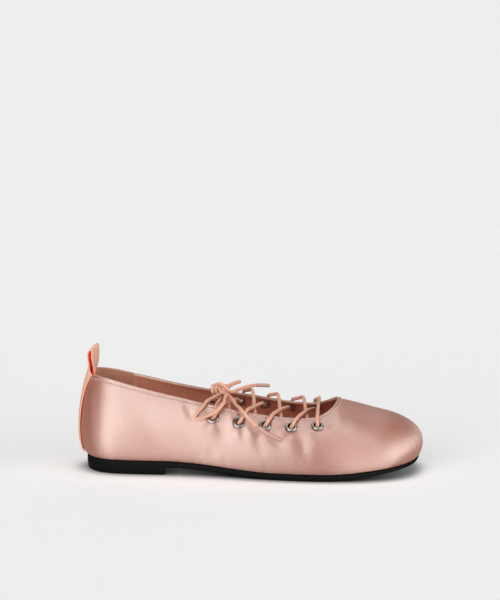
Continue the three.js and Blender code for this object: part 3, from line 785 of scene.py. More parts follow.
def nickel_finish():
    """Polished nickel with a slightly uneven shine."""
    finish = Finish("nickel", Metallic=1.0)
    base = finish.mottle(350.0, NICKEL_COLOURS)
    finish.colour(base.outputs["Color"])
    finish.roughness(base.outputs["Noise"], 0.12, 0.26)
    return finish.material


# Weaves: threads across and along, and how far they slant.
TWILL = {"Across": 0.7, "Along": 0.7, "Slant": 1.0}
BACK_TWILL = {"Across": 0.7, "Along": 0.7, "Slant": -1.0}
BRAID = {"Across": 6.0, "Along": 0.62, "Slant": 0.1}

SATIN = satin_finish()
LINING = grained_finish(
    "lining", LINING_COLOURS, mottle=220.0, grain=1600.0, strength=0.35, depth_mm=0.12,
    Roughness=0.6, Specular_IOR_Level=0.35,
)
GRIP = grained_finish(
    "heel_grip", GRIP_COLOURS, mottle=300.0, grain=2400.0, strength=0.5, depth_mm=0.15,
    Roughness=0.9, Specular_IOR_Level=0.2, Sheen_Weight=0.25,
)
SOCK = grained_finish(
    "sock", LINING_COLOURS, mottle=150.0, grain=1500.0, strength=0.3, depth_mm=0.12,
    Roughness=0.65, Specular_IOR_Level=0.3,
)
CUT_EDGE = cut_edge_finish()
SEWING = thread_finish("collar_thread", THREAD_COLOURS)
LINING_SEWING = thread_finish("lining_thread", LINING_THREAD_COLOURS)
LACE = woven_finish(
    "lace_braid", LACE_COLOURS, mottle=300.0, weave=BRAID, strength=0.7, depth_mm=0.22,
    Roughness=0.7, Specular_IOR_Level=0.35,
)
AGLET = woven_finish(
    "aglet_film", AGLET_COLOURS, mottle=250.0, weave=BRAID, strength=0.35, depth_mm=0.15,
    Roughness=0.42, Specular_IOR_Level=0.5,
)
TAPE = woven_finish(
    "heel_tape_face", TAPE_COLOURS, mottle=260.0, weave=TWILL, strength=0.5, depth_mm=0.2,
    Roughness=0.75, Specular_IOR_Level=0.3,
)
# Painted glow: the tape's backing emits a little light of its own, standing in for the light that the tape
# lets through.
TAPE_BACK = woven_finish(
    "heel_tape_back", BACKING_COLOURS, mottle=400.0, weave=BACK_TWILL, strength=0.4, depth_mm=0.15,
    Roughness=0.7, Specular_IOR_Level=0.3, Emission_Strength=0.12, Emission_Color=BACKING_PAINTED_GLOW,
)
NICKEL = nickel_finish()
SOLE_EDGE = rubber_finish("sole_edge", False)
SOLE_TREAD = rubber_finish("sole_tread", True)


# The lace.
def smooth_route(points, step):
    """Centripetal Catmull-Rom curve through the points, cut into even steps of length."""
    points = np.asarray(points, float)
    ends = (2 * points[0] - points[1], 2 * points[-1] - points[-2])
    p = np.vstack([ends[0], points, ends[1]])
    knots = np.concatenate([[0.0], np.cumsum(np.sqrt(np.linalg.norm(np.diff(p, axis=0), axis=1)))])
    share = np.linspace(0.0, 1.0, 24, endpoint=False)
    k0, k1, k2, k3 = [knots[i:len(knots) - 3 + i, None, None] for i in range(4)]
    p0, p1, p2, p3 = [p[i:len(p) - 3 + i, None, :] for i in range(4)]
    t = k1 + (k2 - k1) * share[None, :, None]
    a1 = ((k1 - t) * p0 + (t - k0) * p1) / (k1 - k0)
    a2 = ((k2 - t) * p1 + (t - k1) * p2) / (k2 - k1)
    a3 = ((k3 - t) * p2 + (t - k2) * p3) / (k3 - k2)
    b1 = ((k2 - t) * a1 + (t - k0) * a2) / (k2 - k0)
    b2 = ((k3 - t) * a2 + (t - k1) * a3) / (k3 - k1)
    dense = (((k2 - t) * b1 + (t - k1) * b2) / (k2 - k1)).reshape(-1, points.shape[1])
    dense = np.vstack([dense, points[-1:]])
    walked = walked_along(dense)
    even = np.linspace(0.0, walked[-1], max(int(walked[-1] / step), 4) + 1)
    return at_distance(even, walked, dense)


def carried_frames(path):
    """Two directions square to the path that turn with it as little as they can."""
    run = unit(np.gradient(path, axis=0))
    steep = np.array([0.3, 0.2, 0.93])
    sides = [unit(np.cross(run[0], steep))]
    for direction in run[1:]:
        side = sides[-1] - direction * np.dot(sides[-1], direction)
        sides.append(unit(side))
    side = np.array(sides)
    return side, np.cross(run, side)


# Sides of a cord, and the rings that round off its ends as shares of its radius.
CORD_SIDES = 16
CORD_ROUNDING = np.array([0.02, 0.1, 0.25, 0.5, 0.8])


def tube(name, path, radius, material):
    """A round cord along a path: circles carried along it, closing to rounded ends."""
    walked = walked_along(path)
    from_end = np.minimum(walked, walked[-1] - walked)
    rounding = CORD_ROUNDING * radius
    stations = np.concatenate([rounding, walked[from_end > radius], walked[-1] - rounding[::-1]])
    line = at_distance(stations, walked, path)
    side, up = carried_frames(line)
    ends = np.clip(np.minimum(stations, walked[-1] - stations) / radius, 0.0, 1.0)
    girth = radius * np.sqrt(1.0 - (1.0 - ends) ** 2)
    points = line[:, None] + circles(side, up, ring_angles(CORD_SIDES)) * girth[:, None, None]
    quads = ring_quads(len(line), CORD_SIDES)
    lids = end_lids(len(line), CORD_SIDES)
    maps = {"surface": ring_map(stations, CORD_SIDES, 1.0 / CORD_SIDES)}
    return add_piece(name, points.reshape(-1, 3), quads, [material], lids=lids, maps=maps)


# The lace's rows as in the solids. The bar: across the opening, height over the collar, ahead.
# The crossings: share of the way to the next eyelet back, across, height. The risers: x, across, height.
# Through an eyelet: out of the satin, towards the collar, to the front.
BAR_ROWS = ((-1.06, 2.2, 0.0), (-0.7, 3.0, 0.4), (0.3, 3.6, 1.6), (0.93, 3.6, 2.2), (1.16, 1.6, 1.8))
TO_LATERAL_ROWS = ((0.1, 0.55, -2.4), (0.36, -0.25, 1.8), (0.56, -0.75, 2.4), (0.7, -1.03, 2.1))
TO_MEDIAL_ROWS = (
    (0.34, -0.86, -2.4), (0.42, -0.3, 0.2), (0.46, 0.4, 2.8),
    (0.52, 0.8, 4.8), (0.66, 1.04, 2.8), (0.82, 1.18, 1.0),
)
RISER_ROWS = ((99.0, 0.82, -2.4), (101.5, 0.45, 1.6))
EYELET_ROWS = ((2.7, 3.2, 2.6), (1.1, 0.5, 0.7), (-1.2, -0.2, -0.4), (-4.4, 1.2, 0.0))
FIRST_EYELET_LEAN = 0.3
KNOT = np.array([104.2, -1.5, 56.4])
LACE_STEP = 0.8


def through_eyelet(side, number):
    """Points that lead the lace slanting down into an eyelet from the front, and through to the inside."""
    seat, normal, up = SEATS[side, number]
    ahead = np.cross(up, normal) * -side
    lean = 1.0 if number > 1 else FIRST_EYELET_LEAN
    return [seat + normal * out + up * toward + ahead * lean * front for out, toward, front in EYELET_ROWS]


def crossing(number, rows):
    """Points of a strand from inside one eyelet pair over to outside the next pair back."""
    start = eyelet_x(number)
    end = eyelet_x(number + 1)
    return [over_opening(start + (end - start) * share, across, height) for share, across, height in rows]


def riser(side):
    """Points from inside the last eyelet up into the knot."""
    return [over_opening(x, side * across, height) for x, across, height in RISER_ROWS] + [KNOT]


def half_lace(side):
    """The lace from the front bar's end at one side back to the knot: eyelets alternate from side to side."""
    points = []
    for number in range(1, EYELETS + 1):
        points += through_eyelet(side, number)
        if number < EYELETS:
            points += crossing(number, TO_MEDIAL_ROWS if side == LATERAL else TO_LATERAL_ROWS)
            side = -side
    return points + riser(side)


def make_lacing():
    """One cord from the knot down one half, across the front bar and back up the other half."""
    bar = [over_opening(eyelet_x(1) + ahead, across, height) for across, height, ahead in BAR_ROWS]
    points = half_lace(LATERAL)[::-1] + bar + half_lace(MEDIAL)
    piece = tube("lacing", smooth_route(points, LACE_STEP), CORD_RADIUS, LACE)
    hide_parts("lace_bar", *[f"lace_cross_{number}" for number in range(1, EYELETS)])


LOOP_LATERAL_ROUTE = (
    (102.2, -9.4, 55.8), (97.6, -16.2, 54.8), over_opening(93.4, -0.97, 2.3),
    on_wall(LATERAL, 90.0, 4.8, 1.8), on_wall(LATERAL, 86.4, 10.0, 1.8), on_wall(LATERAL, 84.9, 12.4, 1.8),
    on_wall(LATERAL, 86.4, 13.6, 1.9), on_wall(LATERAL, 89.4, 12.6, 2.2), on_wall(LATERAL, 92.8, 11.2, 4.0),
    on_wall(LATERAL, 96.9, 10.1, 7.9), on_wall(LATERAL, 100.4, 8.2, 8.2), on_wall(LATERAL, 103.7, 4.3, 7.6),
    (106.2, -19.0, 56.0), (106.6, -10.0, 56.8),
)
LOOP_MEDIAL_ROUTE = (
    (106.2, 4.0, 57.9), (110.0, 9.6, 59.4), (114.0, 13.6, 60.3), (116.2, 16.8, 60.2),
    (115.6, 20.4, 59.2), (112.0, 18.8, 58.2), (108.4, 12.6, 57.0), (105.6, 5.4, 55.0),
)
END_LATERAL_ROUTE = (
    (109.0, -8.4, 54.4), (111.4, -16.0, 53.2), (113.6, -22.0, 51.4), on_wall(LATERAL, 116.3, 2.7, 4.8),
    on_wall(LATERAL, 120.0, 7.4, 7.0), on_wall(LATERAL, 124.4, 10.0, 4.8), on_wall(LATERAL, 128.8, 12.5, 3.3),
)
END_MEDIAL_ROUTE = ((110.8, 1.6, 55.6), (117.6, 14.0, 55.6), (124.2, 23.0, 55.8), (127.9, 27.5, 55.5))
AGLET_LATERAL_ROUTE = (
    on_wall(LATERAL, 129.3, 12.8, 3.2), on_wall(LATERAL, 138.0, 17.0, 3.0),
    on_wall(LATERAL, 147.4, 20.4, 2.0),
)
AGLET_MEDIAL_ROUTE = ((128.5, 28.1, 55.4), (133.6, 32.3, 54.6), (138.4, 36.0, 53.6))
INTO_KNOT = 0.55

# The knot's coil along x and the two strands over it, from the knot's middle.
KNOT_CORD_RADIUS = 1.1
KNOT_START = -8.4
KNOT_SPAN = 12.8
KNOT_TURNS = 4.4
KNOT_FIRST_ANGLE = 0.6
KNOT_END_RADIUS = 1.6
KNOT_FULLNESS = 0.6
KNOT_DEPTH = 1.2
KNOT_LEAN = 0.3
KNOT_ARCH = (
    (-8.4, 2.4, 3.6), (-6.0, 1.6, 4.1), (-3.4, 0.6, 5.4),
    (-1.0, 0.0, 5.2), (1.6, -0.6, 3.6), (3.6, -0.6, 1.0),
)
KNOT_FRONT = ((-2.6, -3.2, 1.6), (-1.0, -5.2, 0.9), (1.4, -6.2, -0.1), (4.8, -6.9, -2.0))


def from_knot(route, returns):
    """A bow route that starts inside the knot, and comes back into it where the cord returns."""
    points = [np.asarray(point, float) for point in route]
    start = points[0] + (KNOT - points[0]) * INTO_KNOT
    tail = [points[-1] + (KNOT - points[-1]) * INTO_KNOT] if returns else []
    return [start] + points + tail


def bow_cord(name, node, route, returns):
    """A loop or an end of the bow as a cord, in place of its solid, which is hidden."""
    path = smooth_route(from_knot(route, returns), LACE_STEP)
    piece = tube(name, path, CORD_RADIUS, LACE)
    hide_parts(node)


def make_aglet(name, route):
    """A film tip over the cord's end: a slightly thicker tube."""
    piece = tube(name, smooth_route(route, LACE_STEP), AGLET_RADIUS, AGLET)
    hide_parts(name)
    return piece


def make_bow():
    """Two loops and two tipped ends out of the knot."""
    lateral_tip = make_aglet("aglet_lateral", AGLET_LATERAL_ROUTE)
    medial_tip = make_aglet("aglet_medial", AGLET_MEDIAL_ROUTE)
    bow_cord("bow_loop_lateral", "lace_loop_lateral", LOOP_LATERAL_ROUTE, True)
    bow_cord("bow_loop_medial", "lace_loop_medial", LOOP_MEDIAL_ROUTE, True)
    end = END_LATERAL_ROUTE + AGLET_LATERAL_ROUTE[:1]
    bow_cord("bow_end_lateral", "lace_end_lateral", end, False)
    end = END_MEDIAL_ROUTE + AGLET_MEDIAL_ROUTE[:1]
    bow_cord("bow_end_medial", "lace_end_medial", end, False)


def make_knot():
    """The knot: a leaning helix of cord, fullest in its middle, an arch over it and a strand in front."""
    t = np.linspace(0.0, 1.0, 150)
    angle = 2.0 * math.pi * KNOT_TURNS * t + KNOT_FIRST_ANGLE
    swell = KNOT_END_RADIUS + np.sin(math.pi * t) ** KNOT_FULLNESS
    y = KNOT_DEPTH * swell * np.cos(angle)
    z = swell * np.sin(angle)
    x = KNOT_START + KNOT_SPAN * t - KNOT_LEAN * z
    wraps = smooth_route(KNOT + np.stack([x, y, z], -1), LACE_STEP)
    piece = tube("bow_knot", wraps, KNOT_CORD_RADIUS, LACE)
    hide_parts("lace_knot")
    for name, route in (("bow_knot_arch", KNOT_ARCH), ("bow_knot_front", KNOT_FRONT)):
        strand = tube(name, smooth_route(KNOT + np.array(route), LACE_STEP), CORD_RADIUS, LACE)


# The upper.
AROUND_STEPS = 520
RISES = np.unique(np.concatenate([np.linspace(0.0, 1.0, 74), [0.955, 0.968, 0.978, 0.9925]]))
RIM_STEPS = 5
GRIP_END = 40.0
QUARTER_END = 5.0
CUT_EDGE_WIDTH = 0.6
GRIP_THICK = 0.4
GRIP_SEAM = GRIP_END + 1.9
GRIP_FADE = 0.4
GRIP_TOP = 2.6
LEVEL_FOOT = 0.15
QUARTER_TURN = 1.5
HOLE_REACH = 4.0
# Material numbers on the upper.
CUT_EDGE_SLOT = 1
LINING_SLOT = 2
GRIP_SLOT = 3

# Soft troughs and ridges: side, x, drop below the collar, slant in degrees, half length, half width, depth.
CREASES = (
    (LATERAL, 81.0, 9.5, 62.0, 6.5, 3.2, -0.75),
    (LATERAL, 104.0, 20.0, 80.0, 7.0, 6.0, -0.8),
    (LATERAL, 97.5, 36.0, 80.0, 4.0, 3.4, -0.4),
    (LATERAL, 119.0, 17.0, 70.0, 6.0, 3.4, -0.5),
    (LATERAL, 131.0, 25.0, 65.0, 7.0, 4.0, -0.45),
    (LATERAL, 144.0, 20.0, 65.0, 7.0, 4.2, -0.5),
    (LATERAL, 161.0, 24.0, 78.0, 9.0, 4.4, -0.6),
    (LATERAL, 170.5, 27.0, 88.0, 10.0, 4.6, 0.3),
    (LATERAL, 183.0, 12.5, 70.0, 5.5, 3.0, -0.55),
    (LATERAL, 190.0, 24.0, 120.0, 9.0, 4.0, -0.35),
    (MEDIAL, 80.0, 9.0, 60.0, 6.0, 3.4, -0.6),
    (MEDIAL, 110.0, 21.0, 70.0, 8.0, 5.0, -0.6),
    (MEDIAL, 143.0, 21.0, 65.0, 8.0, 4.5, -0.5),
    (MEDIAL, 166.0, 24.0, 80.0, 9.0, 4.6, -0.5),
    (MEDIAL, 184.0, 12.0, 70.0, 5.5, 3.0, -0.5),
)
# Puckers where the satin is drawn under at the sole: side, x, depth. They widen and fade upwards.
PUCKERS = (
    (LATERAL, 18.0, -0.5), (LATERAL, 22.5, -0.35), (LATERAL, 84.5, -0.5), (LATERAL, 88.8, -0.35),
    (LATERAL, 107.0, -0.5), (LATERAL, 135.6, -0.4), (LATERAL, 183.0, -0.35), (MEDIAL, 22.0, -0.45),
    (MEDIAL, 92.0, -0.5), (MEDIAL, 112.0, -0.4), (MEDIAL, 140.0, -0.4), (MEDIAL, 186.0, -0.35),
)
PUCKER_WIDTH = 0.9
PUCKER_WIDENING = 0.12
PUCKER_HEIGHT = 7.0
PUCKER_FOOT = 1.5
# Pleats drawn down the front of the toe: y, depth.
TOE_PLEATS = ((-23.0, -0.25), (-17.5, -0.35), (-12.0, 0.2), (6.0, -0.25), (12.5, 0.2), (19.0, -0.3))
PLEAT_WIDTH = 1.6
PLEAT_HEIGHT = 13.0
PLEAT_REACH = 6.0
PLEAT_FROM = (236.0, 242.0)
# Slow waves all over, and finer wrinkles in a band through the eyelets.
WAVE_DEPTH = 0.12
WRINKLE_DEPTH = 0.16
WRINKLE_DROP = 12.0
WRINKLE_REACH = 9.0
WRINKLE_BACK = (76.0, 96.0)
WRINKLE_FRONT = (-196.0, -180.0)
# The rolled collar edge and the dip along its seam.
EDGE_ROLL = 0.16
EDGE_ROLL_WIDTH = 1.6
SEAM_DIP = 0.2
SEAM_WIDTH = 0.6
# Round each eyelet the satin dips and is drawn into short rays.
EYELET_DIP = 0.3
EYELET_DIP_WIDTH = 7.0
EYELET_PULLS = 6
PULL_DEPTH = 0.13
PULL_RADIUS = 7.5
PULL_WIDTH = 2.6
PULL_REACH = 25.0


def bell(offset, width):
    """1 in the middle, falling off as exp of minus the square of offset over width."""
    return np.exp(-(offset / width) ** 2)


def crease_relief(x, y, drops):
    """Soft creases on their own sides: a bell along each slanted line times a bell across it."""
    total = np.zeros_like(x)
    for side, at_x, at_drop, slant, half_length, half_width, depth in CREASES:
        along = x - at_x
        down = drops - at_drop
        turn = math.radians(slant)
        lengthwise = along * math.cos(turn) + down * math.sin(turn)
        crosswise = down * math.cos(turn) - along * math.sin(turn)
        total += depth * bell(lengthwise, half_length) * bell(crosswise, half_width) * (y * side > 0)
    return total


def pucker_relief(x, y, heights):
    """Puckers at the sole on both sides, and pleats down the front of the toe."""
    total = np.zeros_like(x)
    fade = bell(heights, PUCKER_HEIGHT) * smoothstep(heights, 0.0, PUCKER_FOOT)
    width = PUCKER_WIDTH + PUCKER_WIDENING * heights
    for side, at_x, depth in PUCKERS:
        total += depth * bell(x - at_x, width) * fade * (y * side > 0)
    front = bell(heights - PLEAT_HEIGHT, PLEAT_REACH) * smoothstep(x, *PLEAT_FROM)
    for at_y, depth in TOE_PLEATS:
        total += depth * bell(y - at_y, PLEAT_WIDTH) * front
    return total


def slack_relief(x, y, drops):
    """Slow waves all over and finer wrinkles in the eyelets' band, as sines with lengths in millimetres."""
    waves = np.sin(x / 7.1 + y / 9.0) * np.sin(x / 11.3 - drops / 8.0 + 1.0) + np.sin(x / 17.0 + drops / 6.0)
    wrinkles = np.sin(x / 2.3 + drops / 4.1) * np.sin(drops / 3.1 - x / 7.3) + np.sin(x / 3.7 - drops / 2.9)
    reach = smoothstep(x, *WRINKLE_BACK) * smoothstep(-x, *WRINKLE_FRONT)
    band = bell(drops - WRINKLE_DROP, WRINKLE_REACH) * reach
    return WAVE_DEPTH * waves + WRINKLE_DEPTH * band * wrinkles


def eyelet_relief(points):
    """A dip round each eyelet, with short rays drawn out of it."""
    total = np.zeros(points.shape[:-1])
    for seat, normal, up in SEATS.values():
        offset = points - seat
        rise = offset @ up
        ahead = offset @ np.cross(up, normal)
        near = np.hypot(rise, ahead)
        rays = np.cos(EYELET_PULLS * np.arctan2(ahead, rise)) * bell(near - PULL_RADIUS, PULL_WIDTH)
        drawn = PULL_DEPTH * rays - EYELET_DIP * bell(near, EYELET_DIP_WIDTH)
        total += drawn * (np.linalg.norm(offset, axis=-1) < PULL_REACH)
    return total


def relief(points, drops, heights):
    """Height of the satin over the plain form: creases, puckers, slack, sewn edge and eyelets."""
    x, y = points[..., 0], points[..., 1]
    collar = EDGE_ROLL * bell(drops, EDGE_ROLL_WIDTH) - SEAM_DIP * bell(drops - STITCH_DROP, SEAM_WIDTH)
    soft = crease_relief(x, y, drops) + pucker_relief(x, y, heights) + slack_relief(x, y, drops)
    return (soft + collar + eyelet_relief(points)) * smoothstep(heights, 0.0, 1.0)


def upper_grids():
    """Outer face with its relief, lining face, and distances along the surface, on one grid."""
    around = np.arange(AROUND_STEPS) * ROUND / AROUND_STEPS
    a, r = np.meshgrid(around, RISES, indexing="ij")
    plain = upper_point(a, r)
    normal, up = upper_frame(a, r)
    steps = np.linalg.norm(np.diff(plain, axis=1), axis=-1)
    heights = np.concatenate([np.zeros((AROUND_STEPS, 1)), np.cumsum(steps, axis=1)], axis=1)
    drops = heights[:, -1:] - heights
    outer = plain + normal * relief(plain, drops, heights)[..., None]
    inward = normal.copy()
    inward[..., 2] *= smoothstep(r, 0.0, LEVEL_FOOT)
    back = smoothstep(GRIP_END - plain[..., 0], -GRIP_FADE, GRIP_FADE)
    grip = back * smoothstep(drops, CUT_EDGE_WIDTH, GRIP_TOP)
    lining = plain - inward * (WALL + GRIP_THICK * grip)[..., None]
    middle = plain[:, len(RISES) // 2]
    girth = walked_along(np.concatenate([middle, middle[:1]]))
    return outer, lining, normal, up, drops, girth


def collar_arc(around):
    """Distance round the collar's edge from the middle of the heel."""
    fine = np.linspace(0.0, ROUND, 4001)
    return np.interp(around, fine, walked_along(upper_point(fine, 1.0)))


def cloth_map(down, girth):
    """The satin laid flat: the collar's plan plus the drop laid outwards, the quarters straight back."""
    around = np.arange(AROUND_STEPS + 1) * ROUND / AROUND_STEPS
    side = np.where(around < TOE, LATERAL, MEDIAL)
    from_heel = np.minimum(around, ROUND - around)
    quarter_end = np.where(side == LATERAL, QUARTER_END, ROUND - QUARTER_END)
    walked = np.minimum(girth, girth[-1] - girth)
    behind = np.maximum(np.interp(quarter_end, around, walked) - walked, 0.0)
    start, _ = plan(np.where(from_heel < QUARTER_END, quarter_end, around), 2)
    start[:, 0] -= behind
    straight = np.stack([np.zeros_like(around), side], -1)
    _, foot_out = plan(around, 0)
    turn = smoothstep(from_heel, QUARTER_END, QUARTER_END + QUARTER_TURN)[:, None]
    outward = unit(straight + (foot_out - straight) * turn)
    closed = np.concatenate([down, down[:1]])
    return start[:, None] + outward[:, None] * closed[..., None]


def eyelet_mask(points):
    """True for grid cells that an eyelet's hole takes out, by the distance of their middles."""
    ahead = np.roll(points, -1, 0)
    middles = (points[:, :-1] + points[:, 1:] + ahead[:, :-1] + ahead[:, 1:]) / 4.0
    gone = np.zeros(middles.shape[:2], bool)
    for seat, normal, _ in SEATS.values():
        offset = middles - seat
        flat = offset - (offset @ normal)[..., None] * normal
        gone |= (np.linalg.norm(flat, axis=-1) < EYELET_CUT) & (np.abs(offset @ normal) < HOLE_REACH)
    return gone


def hole_walls(gone, number, inner_number):
    """Quads between outer face and lining round each hole: one for each cell edge where kept meets gone."""
    ring = len(gone)
    walls = []
    for axis, step in ((0, 1), (0, -1), (1, 1), (1, -1)):
        beside = np.roll(gone, -step, axis)
        i, j = np.nonzero(gone & ~beside)
        if axis == 0:
            k = (i + (1 if step > 0 else 0)) % ring
            a, b = number[k, j], number[k, j + 1]
            c, d = inner_number[k, j], inner_number[k, j + 1]
        else:
            k = j + (1 if step > 0 else 0)
            a, b = number[(i + 1) % ring, k], number[i, k]
            c, d = inner_number[(i + 1) % ring, k], inner_number[i, k]
        corners = [a, b, d, c] if step > 0 else [b, a, c, d]
        walls.append(np.stack(corners, -1))
    return np.concatenate(walls)


def collar_rim(outer, lining, normal, up):
    """Half circles over the collar's edge from the outer face to the lining."""
    turn = math.pi * np.arange(1, RIM_STEPS + 1) / (RIM_STEPS + 1)
    centre = (outer + lining)[:, None] / 2.0
    half = np.linalg.norm(outer - lining, axis=-1)[:, None, None] / 2.0
    return centre + half * circles(normal, up, turn)


def cell_corners(grid, i, j):
    """Values of a grid at the four corners of its cells, wrapping round at its ends."""
    rows, columns = grid.shape[:2]
    after = (i + 1) % rows
    beside = (j + 1) % columns
    return np.stack([grid[i, j], grid[after, j], grid[after, beside], grid[i, beside]], 2)


def make_upper():
    """The shell: outer face, rounded collar edge, lining, flat rim under the foot and the eyelet holes."""
    outer, lining, normal, up, drops, girth = upper_grids()
    ring, rows = outer.shape[:2]
    rim = collar_rim(outer[:, -1], lining[:, -1], normal[:, -1], up[:, -1])
    sheet = np.concatenate([outer, rim, lining[:, ::-1]], axis=1)
    columns = sheet.shape[1]
    number = np.arange(ring * columns).reshape(ring, columns)
    i, j = np.meshgrid(np.arange(ring), np.arange(columns), indexing="ij")
    quads = cell_corners(number, i, j)
    gone = eyelet_mask(outer)
    cut = np.zeros((ring, columns), bool)
    cut[:, :rows - 1] = gone
    inner_first = rows + RIM_STEPS
    cut[:, inner_first:columns - 1] = gone[:, ::-1]
    down = np.concatenate([drops, np.zeros((ring, RIM_STEPS)), drops[:, ::-1]], axis=1)
    slots = np.zeros((ring, columns), int)
    inside = j >= inner_first
    turned = j >= rows + 2 * RIM_STEPS // 3
    slots[turned] = CUT_EDGE_SLOT
    slots[inside & (down > CUT_EDGE_WIDTH)] = LINING_SLOT
    slots[turned & (sheet[..., 0] < GRIP_END)] = GRIP_SLOT
    uv = cell_corners(cloth_map(down, girth), i, j)
    arc = collar_arc(np.arange(ring + 1) * ROUND / ring)
    along_edge = cell_corners(np.repeat(arc[:, None], columns, axis=1), i, j)
    edge_uv = np.stack([along_edge, cell_corners(down, i, j)], -1)
    walls = hole_walls(gone, number[:, :rows], number[:, inner_first:][:, ::-1])
    all_quads = np.concatenate([quads[~cut], walls])
    all_slots = np.concatenate([slots[~cut], np.full(len(walls), LINING_SLOT)])
    no_map = np.zeros((len(walls) * 4, 2))
    maps = {
        "surface": np.concatenate([uv[~cut].reshape(-1, 2), no_map]),
        "edge": np.concatenate([edge_uv[~cut].reshape(-1, 2), no_map]),
    }
    materials = [SATIN, CUT_EDGE, LINING, GRIP]
    piece = add_piece("satin_upper", sheet.reshape(-1, 3), all_quads, materials, slots=all_slots, maps=maps)
    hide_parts("upper")


def stitch_row(name, line, normals, measure, length, radius, material):
    """Sewn thread: short rounded bars laid end to end by a measure along a line, one mesh from arrays."""
    first = math.ceil(measure[0] / STITCH_PITCH) + 0.5
    middles = np.arange(first, measure[-1] / STITCH_PITCH - 0.5) * STITCH_PITCH
    at = at_distance(middles, measure, line)
    normal = unit(at_distance(middles, measure, normals))
    run = unit(at_distance(middles + 0.5, measure, line) - at_distance(middles - 0.5, measure, line))
    side = np.cross(normal, run)
    along = STITCH_PLACES * length
    girth = STITCH_GIRTH * radius
    lift = STITCH_LIFT * radius
    spine = at[:, None] + along[None, :, None] * run[:, None] + lift[None, :, None] * normal[:, None]
    circle = circles(side, normal, ring_angles(STITCH_SIDES))
    points = spine[:, :, None] + girth[None, :, None, None] * circle[:, None]
    starts = np.arange(len(at)) * len(along) * STITCH_SIDES
    block = ring_quads(len(along), STITCH_SIDES)
    quads = (block[None] + starts[:, None, None]).reshape(-1, 4)
    lids = [lid + start for lid in end_lids(len(along), STITCH_SIDES) for start in starts]
    piece = add_piece(name, points.reshape(-1, 3), quads, [material], lids=lids)


def make_collar_stitching():
    """The row of stitches a little below the collar's edge, all round the opening."""
    around = np.linspace(0.35, ROUND - 0.35, 900)
    rises = np.linspace(0.9, 1.0, 80)
    points = upper_point(around[:, None], rises[None, :])
    drops = np.linalg.norm(points - points[:, -1:], axis=-1)
    rise = np.array([np.interp(STITCH_DROP, row[::-1], rises[::-1]) for row in drops])
    normals, _ = upper_frame(around, rise)
    line = upper_point(around, rise)
    stitch_row("collar_stitching", line, normals, collar_arc(around), *COLLAR_STITCH, SEWING)


def make_grip_stitching():
    """A row of stitches in the lining beside the front edge of the heel grip, on each side."""
    drops = np.linspace(2.4, 40.0, 80)
    for side, label in SIDE_NAMES.items():
        line = np.array([on_wall(side, GRIP_SEAM, drop, -WALL) for drop in drops])
        wall = np.array([on_wall(side, GRIP_SEAM, drop, 0.0) for drop in drops])
        row = f"grip_stitching_{label}"
        stitch_row(row, line, unit(line - wall), drops, *GRIP_STITCH, LINING_SEWING)


# Sole, heel and sock. Edges of a slab: distance out of the foot's edge, surface, height over it.
SOLE_EDGES = (
    (-0.4, sole_under, 0.0), (0.45, sole_under, 0.18), (0.88, sole_under, 0.75), (1.0, sole_under, 1.6),
    (1.0, sole_top, -1.3), (0.85, sole_top, -0.5), (0.4, sole_top, 0.0),
)
SOCK_TOP = GAP + INSOLE_THICK
SOCK_EDGES = (
    (-INSOLE_INSET, sole_top, GAP), (-INSOLE_INSET, sole_top, SOCK_TOP - 0.9),
    (-INSOLE_INSET - 0.25, sole_top, SOCK_TOP - 0.25), (-INSOLE_INSET - 0.9, sole_top, SOCK_TOP),
)
SLAB_SIDES = 360
SLAB_LANES = 14
# Levels of the heel block: distance out of the foot's edge, height.
HEEL_LEVELS = (
    (-0.7, 0.0), (-0.2, 0.12), (0.3, 0.55), (0.55, 1.2),
    (1.0, HEEL_BLOCK - 0.2), (1.03, HEEL_BLOCK + 1.7),
)
BREAST_INSET = 0.6


def foot_ring(count):
    """Even places round the foot's edge and their outward directions."""
    return plan(np.arange(count) * ROUND / count, 0)


def lid_rows(ring, surface, lift):
    """Points between the two sides of a ring round the shoe, lane by lane, lifted over a surface."""
    half = len(ring) // 2
    outer = ring[1:half]
    inner = ring[:half:-1]
    share = np.linspace(0.0, 1.0, SLAB_LANES + 1)[1:-1]
    rows = outer[:, None] + (inner - outer)[:, None] * share[None, :, None]
    rows[..., 2] = surface(rows[..., 0]) + lift
    return rows


